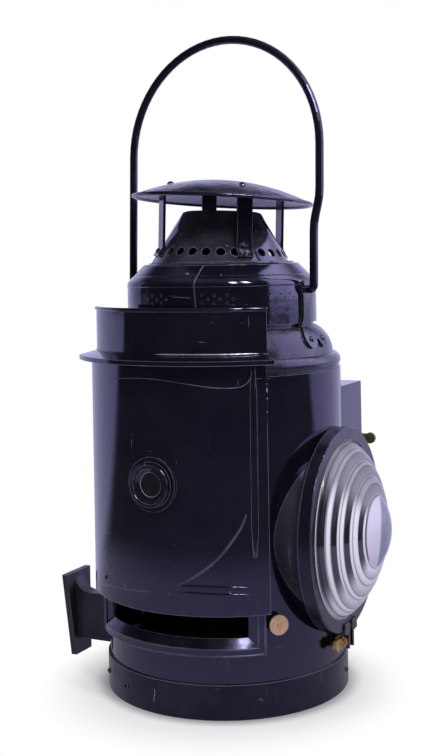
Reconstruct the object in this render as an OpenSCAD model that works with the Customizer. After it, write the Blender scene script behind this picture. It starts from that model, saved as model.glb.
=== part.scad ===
// Locomotive classification lamp: an oil lamp in a black sheet-metal drum with one stepped lens,
// a sliding door with a peephole, a smoke cap on four legs, a wire bail and a tapered bracket lug.
// Millimetres. The lamp's axis is Z and the base stands on z = 0. The lens looks along +X, the
// bracket lug points along -X, the door is on the -Y side and the bracket socket on the +Y side.

/* [Drum] */
// Outer radius of the drum
drum_r = 93.6; // [80:0.5:115]
// Height of the drum's top edge above the ground
drum_top = 247; // [235:1:262]
// Thickness of the drum's sheet
drum_wall = 1.2; // [0.8:0.1:2]
// Height of the base ring
base_h = 25.4; // [18:0.2:34]
// Thickness of the base ring
base_wall = 1.7; // [1.2:0.1:3]
// Height of the floor's underside above the ground
floor_z = 8; // [4:0.5:11]

/* [Head] */
// Radius of the roll where the shoulder meets the drum
shoulder_roll = 6; // [4:0.2:8]
// Radius of the shoulder's round top
shoulder_round = 25.4; // [22:0.2:27]
// Distance of the vent dome's wall inside the drum's wall
dome_inset = 18.3; // [15:0.1:23]
// Height of the vent dome
dome_h = 46.5; // [42:0.5:54]
// Width of the vent dome's chamfer
dome_chamfer = 14; // [10:0.5:15]
// Radius of the chamfer's two corners
dome_corner = 4; // [2:0.5:6]
// Air gap between the shoulder and the vent dome
dome_gap = 3.2; // [2:0.1:5]
// Thickness of the head's sheets
head_wall = 1.2; // [0.8:0.1:1.6]
// Distance of the chimney cone's foot inside the vent dome's wall
cone_inset = 20.5; // [19:0.5:26]
// Difference between the radius of the chimney cone's foot and of its mouth
cone_taper = 23.4; // [16:0.2:30]
// Height of the chimney cone
cone_h = 39; // [30:1:50]
// Number of holes round the chimney cone
cone_holes = 28; // [12:4:32]
// Diameter of the chimney cone's holes
cone_hole_d = 7.4; // [4:0.2:8.5]
// Height of the hole ring above the chimney cone's foot
cone_hole_z = 7.6; // [6:0.2:10]
// Number of perforation groups round the vent dome
vent_groups = 9; // [5:1:12]
// Diameter of the vent dome's perforations
vent_hole_d = 1.7; // [1.2:0.1:2.4]

/* [Smoke cap] */
// Overhang of the smoke cap's rim past the chimney cone's foot
cap_overhang = 18; // [10:0.2:24]
// Rise of the smoke cap from its rim to its crown
cap_rise = 16.3; // [10:0.5:24]
// Height of the smoke cap's rim above the chimney mouth
cap_gap = 10; // [7:0.5:16]
// Thickness of the smoke cap's sheet
cap_wall = 1.2; // [0.8:0.1:2]
// Lean of the whole chimney in degrees, as on a lamp that has been knocked
chimney_lean = 2; // [0:0.5:2.5]
// Further lean of the smoke cap in degrees, the same way
cap_lean = 2; // [0:0.5:3]
// Direction of both leans, as an angle from the lens axis
lean_angle = 39; // [-180:1:180]
// Width of a leg strap
leg_w = 12.4; // [8:0.2:16]
// Thickness of a leg strap
leg_t = 2.2; // [1.5:0.1:3]
// Distance of a leg's outer face inside the chimney cone's foot
leg_inset = 4; // [3.5:0.1:8]

/* [Bail] */
// Diameter of the bail's wire
bail_d = 6.6; // [5:0.2:8]
// Distance of the bail's wire outside the vent dome's wall
bail_stand = 13.7; // [12:0.1:18]
// Height of the bail's pivots above the vent dome's lower edge
bail_pivot_rise = 25.8; // [20:0.1:28]
// Height of the bail's straight legs above its pivots
bail_leg_h = 111.4; // [95:0.2:130]
// Inward kink of the bail's leg on the lens side
bail_kink = 5; // [0:0.2:5]
// Direction of the bail's pivots on the lens side, as an angle from the lens axis
bail_angle = -7; // [-12:0.5:12]
// Lean of the bail at rest away from the door in degrees
bail_back = 2; // [0:0.5:6]

/* [Door] */
// Angle from the lens axis round to the middle of the door
door_angle = 94; // [90:0.5:98]
// Height of the door panel's face above the drum
door_stand = 11.4; // [9.5:0.1:16]
// Thickness of the door's sheet
door_wall = 1.2; // [0.8:0.1:1.6]
// Height of the door panel's lower edge as the door stands part open
door_z = 77.7; // [70:0.1:90]
// Height of the drip flange above the drum's top edge
flange_rise = 13.7; // [6:0.1:18]
// Height of the hood's face above the drum
hood_stand = 7; // [6.3:0.1:8.4]
// Height of the hood above the drip flange
hood_h = 36; // [24:1:40]
// Height of the drip flange's edge above the drum
flange_stand = 20.9; // [15:0.1:25]
// Half the angle that the door opening takes
opening_half = 39.5; // [34:0.5:41]
// Height of the door opening's sill
opening_z = 59; // [50:0.5:68]
// Distance of the door opening's head below the drum's top edge
opening_drop = 17; // [13:0.5:45]
// Width of the moulding's sloping face
frame_slope_w = 7; // [5:0.5:8]
// Width of the moulding's flat rim
frame_rim_w = 5.2; // [4:0.2:6]
// Height of the moulding's rim above the drum
frame_stand = 5; // [4:0.1:5.2]
// Height of the peephole's centre above the door's lower edge
peep_rise = 93; // [60:1:120]
// Outer diameter of the peephole's ferrule
peep_d = 40; // [30:0.5:46]
// Diameter of the peephole's glass
peep_glass_d = 22; // [16:0.5:26]

/* [Lens] */
// Gap between the base ring and the bezel's lower edge
lens_gap = 23.6; // [18:0.2:32]
// Diameter of the lens
lens_d = 136.5; // [130:0.5:140]
// Height of the bezel's front face above the drum
bezel_stand = 9.8; // [8.6:0.2:16]
// Width of the bezel's rim outside the lens
bezel_rim = 8.75; // [7.7:0.05:11]
// Overlap of the bezel's lip on the lens
bezel_lap = 0.95; // [0.6:0.05:7]
// Thickness of the bezel's sheet
bezel_wall = 1.4; // [1:0.1:2]
// Thickness of the lens at its rim
lens_rim_t = 5.5; // [4:0.1:6.5]
// Height of the lens's crown above its rim
lens_crown = 28; // [20:0.5:36]
// Height of the bull's eye above its rim
eye_crown = 9.4; // [3:0.2:12]
// Width of the seat that the collar gives the lens
lens_seat_w = 8.25; // [6:0.25:14]

/* [Clasp] */
// Diameter of the clasp screw's shank
clasp_d = 4; // [3:0.2:5]
// Drop of the clasp screw below the bezel's edge
clasp_drop = 7.8; // [7.6:0.1:9]
// Distance of the clasp screw from the drum's wall
clasp_stand = 5.4; // [5.4:0.1:7.5]
// Width across a thumb screw's wing
wing_w = 9; // [7:0.5:9]

/* [Bracket lug] */
// Distance of the lug plate's inner face from the drum at its top
lug_stand = 47.4; // [38:0.2:66]
// Width of the lug plate at its top
lug_top_w = 36; // [28:0.5:48]
// Width of the lug plate at its bottom
lug_bottom_w = 23.4; // [18:0.2:30]
// Height of the lug plate
lug_h = 68; // [54:1:80]
// Thickness of the lug plate
lug_t = 5; // [4:0.2:8]
// Thickness of the lug's web
lug_web_t = 12; // [8:0.5:16]

/* [Bracket socket] */
// Distance of the socket's lens-side face inside the drum's lens-side edge
socket_inset = 15.6; // [12:0.2:22]
// Width of the socket along the lens axis
socket_w = 40; // [30:1:46]
// Height of the socket's back face above the drum
socket_stand = 12.4; // [8.4:0.2:26]
// Distance of the socket's top below the drum's top edge
socket_drop = 19; // [13:0.5:37]
// Height of the socket
socket_h = 80; // [66:1:130]
// Thickness of the socket's sheet
socket_wall = 1.6; // [1.2:0.1:2.5]
// Diameter of the socket's clamping screw
socket_screw_d = 6; // [4:0.5:8]

/* [Oil fount and burner] */
// Radius of the oil fount
fount_r = 52; // [40:1:56]
// Height of the oil fount
fount_h = 42; // [30:1:43]
// Outer radius of the burner
burner_r = 19; // [16:0.5:24]
// Width of the wick
wick_w = 12; // [10:0.5:16]
// Thickness of the wick
wick_t = 2.4; // [1.6:0.1:3]
// Height of the wick's winding shaft above the burner's foot
winder_rise = 11.4; // [10:0.2:13]
// Direction of the winding shaft, as an angle from the lens axis
winder_angle = -46; // [-46:0.5:-38]
// Radius of the winding wheel
winder_wheel_r = 5.9; // [4.5:0.1:6.5]
// Diameter of the winding shaft
winder_d = 3; // [2.5:0.1:4]
// Diameter of the brass knob on the winding shaft
knob_d = 14.4; // [10:0.2:15]

/* [Hidden] */
$fn = 96;
eps = 0.01;
// Gap between sheets that are riveted or soldered face to face
seat = 0.05;
// Radial clearance of a shaft in its bore
run_fit = 0.1;
// Clearance between the door and its guides
slide_gap = 0.4;

// Drum
base_r = drum_r + seat + base_wall;
drum_z = floor_z + 4;
floor_top = floor_z + drum_wall;

// Head
roll_z = drum_top + shoulder_roll;
shoulder_cx = drum_r - 5.6 - shoulder_round - 0.2;
shoulder_cz = roll_z + 5;
dome_r = drum_r - dome_inset;
neck_r = dome_r - 2.7;
shoulder_top = shoulder_cz + sqrt(pow(shoulder_round, 2) - pow(dome_r - 0.3 - shoulder_cx, 2));
dome_z = shoulder_top + dome_gap;
dome_top_z = dome_z + dome_h;
cone_foot_r = dome_r - cone_inset;
cone_mouth_r = cone_foot_r - cone_taper;
cone_z = dome_top_z + head_wall;
cone_top_z = cone_z + cone_h;
cone_slope = atan(cone_taper / cone_h);
neck_top = dome_z + 9;
vent_pitch = 7.1;
vent_row = 2.9;
vent_z = dome_z + 20.3;

// Smoke cap
cap_r = cone_foot_r + cap_overhang;
cap_z = cone_top_z + cap_gap;
cap_sphere = (pow(cap_r, 2) + pow(cap_rise, 2)) / (2 * cap_rise);
leg_r = cone_foot_r - leg_inset;
leg_angles = [-43.5, 45, 129, -135];
leg_foot_l = 8.3;
leg_bend_z = cone_z + (leg_inset + leg_t) / tan(cone_slope);
cap_rivet_r = leg_r - 7;
rim_bead = 1.6;

// Bail
bail_half_w = dome_r + bail_stand;
bail_pivot_z = dome_z + bail_pivot_rise;
bail_arch_z = bail_pivot_z + bail_leg_h;
kink_low = 46;
kink_high = 76;
ear_t = 2.2;
ear_x = dome_r + 0.4;
ear_eye_r = 7;
ear_lobe_y = 8.4;
ear_lobe_rise = 13.5;
bail_hook_r = 3.6;
bail_pin_d = bail_d - 0.6;
bail_end_x = dome_r + 0.1;

// Door and its moulding
rim_r = drum_r + frame_stand;
door_r = drum_r + door_stand;
door_in_r = door_r - door_wall;
hood_r = drum_r + hood_stand;
flange_r = drum_r + flange_stand;
opening_top = drum_top - opening_drop;
frame_slope_a = frame_slope_w / rim_r * 180 / PI;
frame_rim_a = frame_rim_w / rim_r * 180 / PI;
frame_half = opening_half + frame_slope_a + frame_rim_a;
groove_w = 2.6;
groove_a = groove_w / rim_r * 180 / PI;
rim_t = 1.5;
door_half = frame_half + (slide_gap + door_wall) / rim_r * 180 / PI;
hood_half = door_half + 1.4;
hook_r0 = drum_r + 0.8;
hook_r1 = rim_r - rim_t - 0.6;
flange_z = drum_top + flange_rise;
flange_lip = 3.4;
peep_z = door_z + peep_rise;

// Lens
lens_r = lens_d / 2;
bezel_r = lens_r + bezel_rim;
bezel_sight_r = lens_r - bezel_lap;
collar_r = lens_r - lens_seat_w;
lens_z = base_h + lens_gap + bezel_r;
bezel_front = drum_r + bezel_stand;
bezel_depth = bezel_stand - 0.4;
lens_front = bezel_front - bezel_wall - 0.1;
lens_back = lens_front - lens_rim_t;
gasket_t = 1.2;
flange_front = lens_back - gasket_t - 2 * seat;
collar_wall = 1.5;
collar_flange_t = 1.6;
collar_flange_r = bezel_r - bezel_wall - 0.2;
lens_steps = [for (w = [1.75, 7.45, 17.05, 28.15, 41.25]) lens_r - w];
step_run = 2.6;
lens_sphere = (pow(lens_steps[0], 2) + pow(lens_crown, 2)) / (2 * lens_crown);

// Clasp
clasp_x = drum_r + clasp_stand;
clasp_z = lens_z - bezel_r - clasp_drop;
clasp_strap = 1.5;
clasp_half_gap = 3.3;
clasp_plate_t = 2;
collar_disc_t = 2.4;
wing_l = 13;
wing_t = 3;

// Lug
lug_reach = drum_r + lug_stand;
lug_draft = 4;
lug_z = 2;
lug_web_z = 15;
lug_web_h = 39;
lug_pad_w = 42;
lug_pad_t = 3;

// Socket
socket_x = drum_r - socket_inset;
socket_y = drum_r + socket_stand;
socket_top = drum_top - socket_drop;
socket_screw_y = socket_y - 10;
socket_screw_z = socket_top - 47;
socket_nut_w = 12;
socket_nut_t = 4;

// Fount, burner and winder
fount_top = floor_top + seat + fount_h;
neck_h = 5;
burner_z = fount_top + neck_h;
burner_h = 19;
winder_z = burner_z + winder_rise;
burner_wall = 1.2;
gallery_z = burner_z + burner_h;
cone_tip_z = gallery_z + 22;
tube_wall = 0.8;
tube_gap = 0.3;
winder_off = winder_wheel_r + run_fit + wick_t / 2;
knob_t = 1.6;
bush_r = 4.5;
bush_t = 4.4;
filler_r = 9;

enamel = "#1d1b26";
brass = "#a98456";

// Helpers

// A band of a cylinder's wall between two radii, two heights and two angles
module band(r0, r1, z0, z1, a0 = 0, a1 = 360) {
    rotate([0, 0, a0])
        rotate_extrude(angle = a1 - a0)
            translate([r0, z0])
                square([r1 - r0, z1 - z0]);
}

// Points on a circle from one angle to another
function arc(cx, cy, r, a0, a1, steps) =
    [for (i = [0:steps]) let (a = a0 + (a1 - a0) * i / steps) [cx + r * cos(a), cy + r * sin(a)]];

// Turns a child from the door's own frame, whose middle is on +X, to the door's side of the lamp
module at_door() {
    rotate([0, 0, -door_angle])
        children();
}

// Turns a solid of revolution about Z into one about the lens axis
module on_lens_axis() {
    translate([0, 0, lens_z])
        rotate([0, 90, 0])
            children();
}

// Leans its children about a point of the lamp's axis
module leaning(z, lean) {
    translate([0, 0, z])
        rotate([0, 0, lean_angle])
            rotate([0, lean, 0])
                rotate([0, 0, -lean_angle])
                    translate([0, 0, -z])
                        children();
}

// The lean of the chimney about the middle of its foot
module chimney_tilt() {
    leaning(cone_z, chimney_lean)
        children();
}

// The lean of the smoke cap, on top of the chimney's
module cap_tilt() {
    chimney_tilt()
        leaning(cap_z, cap_lean)
            children();
}

// Turns a child to the plane of the bail's legs
module at_bail() {
    rotate([0, 0, bail_angle])
        children();
}

// Round rivet head that stands on z = 0
module rivet_head(d, h) {
    r = (pow(d / 2, 2) + h * h) / (2 * h);
    intersection() {
        translate([0, 0, h - r])
            sphere(r);
        cylinder(h = h + 1, d = d + 1);
    }
}

// Round rivet head on a wall of the given radius, pointing out at an angle
module wall_rivet(wall_r, a, z, d = 4.6, h = 1.7) {
    rotate([0, 0, a])
        translate([wall_r + seat, 0, z])
            rotate([0, 90, 0])
                rivet_head(d, h);
}

// Drum

// Rolled ring at the foot, its lower edge turned in
module base_ring() {
    color(enamel)
        rotate_extrude()
            difference() {
                translate([drum_r + seat - 4, 0])
                    square([base_wall + 4, base_h]);
                translate([drum_r + seat - 5, base_wall])
                    square([5, base_h]);
            }
}

// Floor with its turned-down rim and a ring of air holes
module base_floor() {
    rim_r = drum_r - seat;
    holes = 12;
    color("#2a2833")
        difference() {
            union() {
                translate([0, 0, floor_z])
                    cylinder(h = drum_wall, r = rim_r);
                band(rim_r - drum_wall, rim_r, base_wall + seat, floor_z + eps);
            }
            for (i = [0:holes - 1])
                rotate([0, 0, 360 / holes * (i + 0.5)])
                    translate([(fount_r + drum_r) / 2, 0, floor_z - 1])
                        cylinder(h = drum_wall + 2, d = 7);
        }
}

// Drum with its door opening, lens opening and the hole for the winding shaft
module body_shell() {
    color(enamel)
        difference() {
            band(drum_r - drum_wall, drum_r, drum_z, drum_top);
            at_door()
                band(drum_r - 5, drum_r + 5, opening_z, opening_top, -opening_half, opening_half);
            translate([0, 0, lens_z])
                rotate([0, 90, 0])
                    cylinder(h = drum_r + 5, r = collar_r);
            winder_frame()
                rotate([0, 90, 0])
                    cylinder(h = drum_r + 5, d = winder_d + 4 * run_fit);
        }
}

// Rivets round the base ring
module base_rivets() {
    color(enamel)
        for (a = [-141, -118, -50, 10, 62, 110, 158])
            wall_rivet(base_r, a, base_h / 2);
}

// Head

// Cross-section of the shoulder's solid, made smaller all round by an inset
module shoulder_outline(inset) {
    difference() {
        union() {
            translate([drum_r - shoulder_roll, roll_z])
                circle(shoulder_roll - inset);
            intersection() {
                translate([shoulder_cx, shoulder_cz])
                    circle(shoulder_round - inset, $fn = 160);
                translate([0, roll_z])
                    square([drum_r, shoulder_top - roll_z - inset]);
            }
            translate([0, roll_z - 2 * shoulder_roll])
                square([drum_r - shoulder_roll, 2 * shoulder_roll + 5 - inset]);
        }
        translate([0, roll_z - 3 * shoulder_roll])
            square([drum_r - 3 * shoulder_roll, 2 * shoulder_roll]);
    }
}

// Shoulder with its roll on the drum's edge, a skirt inside the drum and the neck under the dome
module shoulder() {
    skirt_r = drum_r - drum_wall - seat;
    color(enamel)
        rotate_extrude($fn = 180)
            difference() {
                union() {
                    difference() {
                        shoulder_outline(0);
                        shoulder_outline(head_wall);
                        translate([0, drum_top - 50])
                            square([drum_r + 1, 50 + seat]);
                    }
                    translate([skirt_r - head_wall, drum_top - 7])
                        square([head_wall, 8 + head_wall]);
                    translate([neck_r - head_wall, shoulder_top - head_wall])
                        square([head_wall, neck_top - shoulder_top + head_wall]);
                }
                square([neck_r - head_wall, 400]);
            }
}

// Stepped ring that carries the dome on the shoulder's neck
module draft_ring() {
    out_r = dome_r - head_wall - seat;
    color(enamel) {
        band(neck_r - head_wall, out_r, neck_top + seat, neck_top + head_wall);
        band(out_r - head_wall, out_r, neck_top + head_wall - eps, neck_top + 4);
    }
}

// Cross-section of the vent dome's solid, made smaller all round by an inset
module dome_outline(inset) {
    c = dome_corner;
    run = dome_chamfer + c * tan(22.5);
    polygon(concat(
        [[0, 0], [dome_r - inset, 0]],
        arc(dome_r - c, dome_top_z - run, c - inset, 0, 45, 4),
        arc(dome_r - run, dome_top_z - c, c - inset, 45, 90, 4),
        [[0, dome_top_z - inset]]
    ));
}

// Vent dome with its groups of small perforations
module vent_dome() {
    color(enamel)
        difference() {
            rotate_extrude()
                difference() {
                    dome_outline(0);
                    dome_outline(head_wall);
                    translate([0, -1])
                        square([dome_r + 1, dome_z + 1]);
                    square([cone_foot_r - 4, 400]);
                }
            for (g = [0:vent_groups - 1])
                for (row = [-1:1])
                    for (i = [-1:1])
                        rotate([0, 0, -68 + g * 360 / vent_groups + (i + (row == 0 ? 0.5 : 0)) * vent_pitch])
                            translate([dome_r - 4, 0, vent_z + row * vent_row])
                                rotate([0, 90, 0])
                                    cylinder(h = 6, d = vent_hole_d, $fn = 16);
        }
}

// Chimney cone with its foot flange, rolled mouth and ring of round holes
module chimney_cone() {
    hole_r = cone_foot_r - cone_hole_z * tan(cone_slope);
    t = head_wall / cos(cone_slope);
    low = 4;
    low_r = cone_foot_r + low * tan(cone_slope);
    lip = 3;
    color(enamel)
        difference() {
            union() {
                chimney_tilt()
                    rotate_extrude()
                        polygon([
                            [low_r - t, cone_z - low], [low_r, cone_z - low],
                            [cone_mouth_r, cone_top_z], [cone_mouth_r - lip, cone_top_z + 1],
                            [cone_mouth_r - lip, cone_top_z - 0.2], [cone_mouth_r - t, cone_top_z - head_wall],
                        ]);
                band(cone_foot_r - 3.9, cone_foot_r + 2.9, dome_top_z + seat, dome_top_z + seat + head_wall);
            }
            translate([0, 0, dome_top_z - 9])
                cylinder(h = 9 + seat, r = cone_foot_r + 9);
            for (i = [0:cone_holes - 1])
                chimney_tilt()
                    rotate([0, 0, 360 / cone_holes * i])
                        translate([hole_r, 0, cone_z + cone_hole_z])
                            rotate([0, 90 - cone_slope, 0])
                                translate([0, 0, -6])
                                    cylinder(h = 12, d = cone_hole_d, $fn = 32);
        }
}

// Everything above the smoke cap's underside
module above_cap_sheet() {
    cap_tilt()
        difference() {
            translate([0, 0, cap_z + 20])
                cube([2 * cap_r, 2 * cap_r, 80], center = true);
            translate([0, 0, cap_z + cap_rise - cap_sphere])
                sphere(cap_sphere - cap_wall - seat, $fn = 180);
        }
}

// Leg strap: a foot on the cone, an upright and a tab under the smoke cap
module cap_leg(a) {
    inner_r = leg_r - leg_t;
    tab_l = 13;
    tab_slope = asin(cap_rivet_r / cap_sphere);
    corner_r = norm([tab_l / 2 + 1.5, leg_w / 2]);
    tab_z = cap_z + cap_rise - cap_sphere + sqrt(pow(cap_sphere - cap_wall - seat, 2) - pow(corner_r, 2));
    color(enamel) {
        difference() {
            chimney_tilt()
                rotate([0, 0, a])
                    translate([inner_r, -leg_w / 2, leg_bend_z])
                        cube([leg_t, leg_w, 60]);
            above_cap_sheet();
        }
        chimney_tilt()
            rotate([0, 0, a])
                translate([inner_r, -leg_w / 2, leg_bend_z])
                    rotate([0, -cone_slope, 0])
                        translate([seat, 0, -leg_foot_l])
                            cube([leg_t, leg_w, leg_foot_l + 1]);
        cap_tilt()
            rotate([0, 0, a])
                translate([0, 0, cap_z + cap_rise - cap_sphere])
                    rotate([0, tab_slope, 0])
                        translate([-tab_l / 2, -leg_w / 2, tab_z - cap_z - cap_rise + cap_sphere - leg_t])
                            cube([tab_l + 1.5, leg_w, leg_t]);
    }
}

// Domed smoke cap with a rolled rim
module smoke_cap() {
    color(enamel)
        cap_tilt()
            rotate_extrude($fn = 180) {
                difference() {
                    intersection() {
                        translate([0, cap_z + cap_rise - cap_sphere])
                            circle(cap_sphere, $fn = 360);
                        translate([0, cap_z])
                            square([cap_r, cap_rise]);
                    }
                    translate([0, cap_z + cap_rise - cap_sphere])
                        circle(cap_sphere - cap_wall, $fn = 360);
                }
                translate([cap_r - rim_bead, cap_z])
                    circle(rim_bead, $fn = 32);
            }
}

// Rivet heads on top of the smoke cap, one over each leg
module cap_rivets() {
    color(enamel)
        cap_tilt()
            for (a = leg_angles)
                rotate([0, 0, a])
                    translate([0, 0, cap_z + cap_rise - cap_sphere])
                        rotate([0, asin(cap_rivet_r / cap_sphere), 0])
                            translate([0, 0, cap_sphere + seat])
                                rivet_head(6, 2);
}

// Rivet heads on the legs' feet
module leg_rivets() {
    color(enamel)
        chimney_tilt()
            for (a = leg_angles)
                rotate([0, 0, a])
                    translate([leg_r - leg_t, 0, leg_bend_z])
                        rotate([0, -cone_slope, 0])
                            translate([leg_t + 2 * seat, 0, -leg_foot_l / 2])
                                rotate([0, 90, 0])
                                    rivet_head(5, 1.6);
}

// Bail

// Centre line of one side of the bail, as [x, z] from the hook's inner end up to the arch
function bail_side(kink) =
    let (foot_x = bail_half_w - kink, hook_z = bail_pivot_z + bail_hook_r)
    concat(
        arc(foot_x - bail_hook_r, hook_z, bail_hook_r, -90, 0, 6),
        [for (i = [1:15])
            let (
                z = hook_z + (bail_arch_z - hook_z) * i / 16,
                t = max(0, min(1, (z - bail_pivot_z - kink_low) / (kink_high - kink_low))),
                ease = t * t * (3 - 2 * t)
            )
            [foot_x + kink * ease, z]]
    );

// Centre line of the whole wire, from the lug side over the arch to the lens side
function bail_path() =
    let (near = bail_side(bail_kink), far = bail_side(0), last = len(near) - 1)
    concat(
        [for (p = far) [-p[0], p[1]]],
        arc(0, bail_arch_z, bail_half_w, 180, 0, 36),
        [for (i = [last:-1:0]) near[i]]
    );

// Round wire swept along a path of the plane y = 0, with flat ends
module swept_wire(path, d, sides) {
    last = len(path) - 1;
    rings = [for (i = [0:last])
        let (
            t = path[min(i + 1, last)] - path[max(i - 1, 0)],
            n = [t[1], -t[0]] / norm(t)
        )
        for (k = [0:sides - 1])
            let (a = 360 / sides * k)
            [path[i][0] + d / 2 * cos(a) * n[0], d / 2 * sin(a), path[i][1] + d / 2 * cos(a) * n[1]]];
    walls = [for (i = [0:last - 1])
        for (k = [0:sides - 1])
            let (a = i * sides + k, b = i * sides + (k + 1) % sides)
            for (f = [[a, b + sides, b], [a, a + sides, b + sides]])
                f];
    ends = [for (k = [1:sides - 2])
        for (f = [[0, k, k + 1], [last * sides, last * sides + k + 1, last * sides + k]])
            f];
    polyhedron(points = rings, faces = concat(walls, ends));
}

// Turned-down end of the bail that lies in an ear
module bail_pin(kink) {
    translate([bail_end_x, 0, bail_pivot_z])
        rotate([0, 90, 0])
            cylinder(h = bail_half_w - kink - bail_hook_r - bail_end_x + 1, d = bail_pin_d, $fn = 48);
}

// Wire bail, with the kinked leg on the lens side
module bail() {
    color("#17151c")
        at_bail()
            translate([0, 0, bail_pivot_z])
                rotate([-bail_back, 0, 0])
                    translate([0, 0, -bail_pivot_z]) {
                        swept_wire(bail_path(), bail_d, 20);
                        bail_pin(bail_kink);
                        mirror([1, 0, 0])
                            bail_pin(0);
                    }
}

// Ear for the bail: an eye beside the dome, a stem and a foot that spreads on the shoulder
module bail_ear() {
    color(enamel)
        difference() {
            union() {
                translate([ear_x, 0, bail_pivot_z])
                    rotate([0, 90, 0])
                        cylinder(h = ear_t, r = ear_eye_r);
                translate([ear_x, -5, dome_z + 4])
                    cube([ear_t, 10, bail_pivot_z - dome_z - 4]);
                rotate([0, 90, 0])
                    linear_extrude(height = drum_r)
                        ear_foot_outline();
            }
            translate([0, 0, bail_pivot_z])
                rotate([0, 90, 0])
                    cylinder(h = 200, d = bail_pin_d + 2 * run_fit, $fn = 48);
            rotate_extrude($fn = 180)
                ear_seat_outline();
            translate([0, 0, shoulder_cz + 4])
                ear_outer_cut();
        }
}

// Side view of the ear's foot: two round lobes that meet in a narrow waist
module ear_foot_outline() {
    lobe_z = shoulder_cz + ear_lobe_rise;
    lobe_r = 6.5;
    waist_z = dome_z + 6;
    round_r = 13;
    sides = [for (p = arc(5 + round_r, waist_z, round_r, 180, 238, 5)) [-p[1], p[0]]];
    polygon(concat(
        sides,
        [[-lobe_z, ear_lobe_y + lobe_r - 0.3], [-lobe_z, -ear_lobe_y - lobe_r + 0.3]],
        [for (i = [len(sides) - 1:-1:0]) [sides[i][0], -sides[i][1]]]
    ));
    for (side = [-1, 1])
        translate([-lobe_z, side * ear_lobe_y])
            circle(lobe_r, $fn = 48);
}

// The space that the head takes under an ear
module ear_seat_outline() {
    translate([0, roll_z])
        square([dome_r + seat, 200]);
    translate([shoulder_cx, shoulder_cz])
        circle(shoulder_round + seat, $fn = 160);
    square([shoulder_cx, 300]);
}

// What lies outside the ear's foot
module ear_outer_cut() {
    rotate_extrude($fn = 180)
        difference() {
            square([200, dome_z - shoulder_cz + 2]);
            translate([shoulder_cx, -4])
                circle(shoulder_round + ear_t, $fn = 160);
            square([ear_x + ear_t, 100]);
        }
}

// Rivet heads on the ears' feet
module ear_rivets() {
    lift = asin(ear_lobe_rise / (shoulder_round + ear_t));
    spread = asin(ear_lobe_y / (shoulder_cx + shoulder_round * cos(lift)));
    color(enamel)
        at_bail()
            for (side = [0, 180])
                for (a = [-spread, spread])
                    rotate([0, 0, side + a])
                        translate([shoulder_cx, 0, shoulder_cz])
                            rotate([0, 90 - lift, 0])
                                translate([0, 0, shoulder_round + ear_t + seat])
                                    rivet_head(5, 1.8);
}

// Door

// What the door opening and the sloping faces beside it take from the moulding, seen in plan
module frame_side_void() {
    function at(r, a) = [r * cos(a), r * sin(a)];
    foot = at(drum_r + 1, opening_half);
    edge = at(rim_r, opening_half + frame_slope_a);
    out = edge + (edge - foot) / 2;
    linear_extrude(height = drum_top)
        polygon([
            [0, 0], foot, out, [drum_r * 2, out[1]],
            [drum_r * 2, -out[1]], [out[0], -out[1]], [foot[0], -foot[1]],
        ]);
}

// What the door opening and the sloping faces above and below it take, turned about the drum's axis
module frame_ring_void() {
    foot = drum_r + 0.7;
    run = frame_slope_w * 1.5;
    out = foot + (rim_r - foot) * 1.5;
    rotate_extrude()
        polygon([
            [drum_r - 5, opening_z], [foot, opening_z], [out, opening_z - run],
            [out, opening_top + run], [foot, opening_top], [drum_r - 5, opening_top],
        ]);
}

// Folded moulding round the door opening, mitred at its corners; its rim is the door's guide
module door_frame() {
    w = frame_slope_w + frame_rim_w;
    low = opening_z - w;
    high = opening_top + w;
    under_rim = rim_r - rim_t;
    foot_half = frame_half - groove_a;
    color(enamel)
        at_door()
            difference() {
                band(drum_r + seat, rim_r, low, high, -frame_half, frame_half);
                intersection() {
                    frame_side_void();
                    frame_ring_void();
                }
                difference() {
                    band(drum_r - 1, under_rim, low - 1, high + 1, -frame_half - 3, frame_half + 3);
                    band(drum_r - 2, rim_r, low + groove_w, high - groove_w, -foot_half, foot_half);
                }
            }
}

// Door panel with the side returns that hook behind the moulding's rim
module door_panel() {
    wall_a = door_wall / rim_r * 180 / PI;
    hook_a = (door_wall + slide_gap + 1.8) / rim_r * 180 / PI;
    top = flange_z - seat;
    inner = door_half - wall_a;
    hook = door_half - hook_a;
    color(enamel)
        at_door()
            difference() {
                band(hook_r0, door_r, door_z, top, -door_half, door_half);
                band(hook_r1, door_in_r, door_z - 1, top + 1, -inner, inner);
                band(hook_r0 - 1, hook_r1 + 3, door_z - 1, top + 1, -hook, hook);
                translate([0, 0, peep_z])
                    rotate([0, 90, 0])
                        cylinder(h = 200, d = peep_glass_d);
            }
}

// Hood with a wired top edge over the sloping drip flange
module door_hood() {
    half = hood_half;
    inner = hood_r - door_wall;
    color(enamel)
        at_door()
            rotate([0, 0, -half])
                rotate_extrude(angle = 2 * half) {
                    polygon([
                        [inner, flange_z], [door_r + seat, flange_z],
                        [door_r + seat, flange_z - 1.2], [flange_r, flange_z - flange_lip],
                        [flange_r, flange_z], [hood_r, flange_z + 3.4],
                        [hood_r, flange_z + hood_h], [inner, flange_z + hood_h],
                    ]);
                    translate([hood_r - 0.2, flange_z + hood_h])
                        circle(1.5, $fn = 24);
                }
}

// Rivet heads near the door's lower corners
module door_rivets() {
    color(enamel)
        for (a = [-30, 31])
            wall_rivet(door_r, a - door_angle, door_z + 16, 4.6, 1.5);
}

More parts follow.
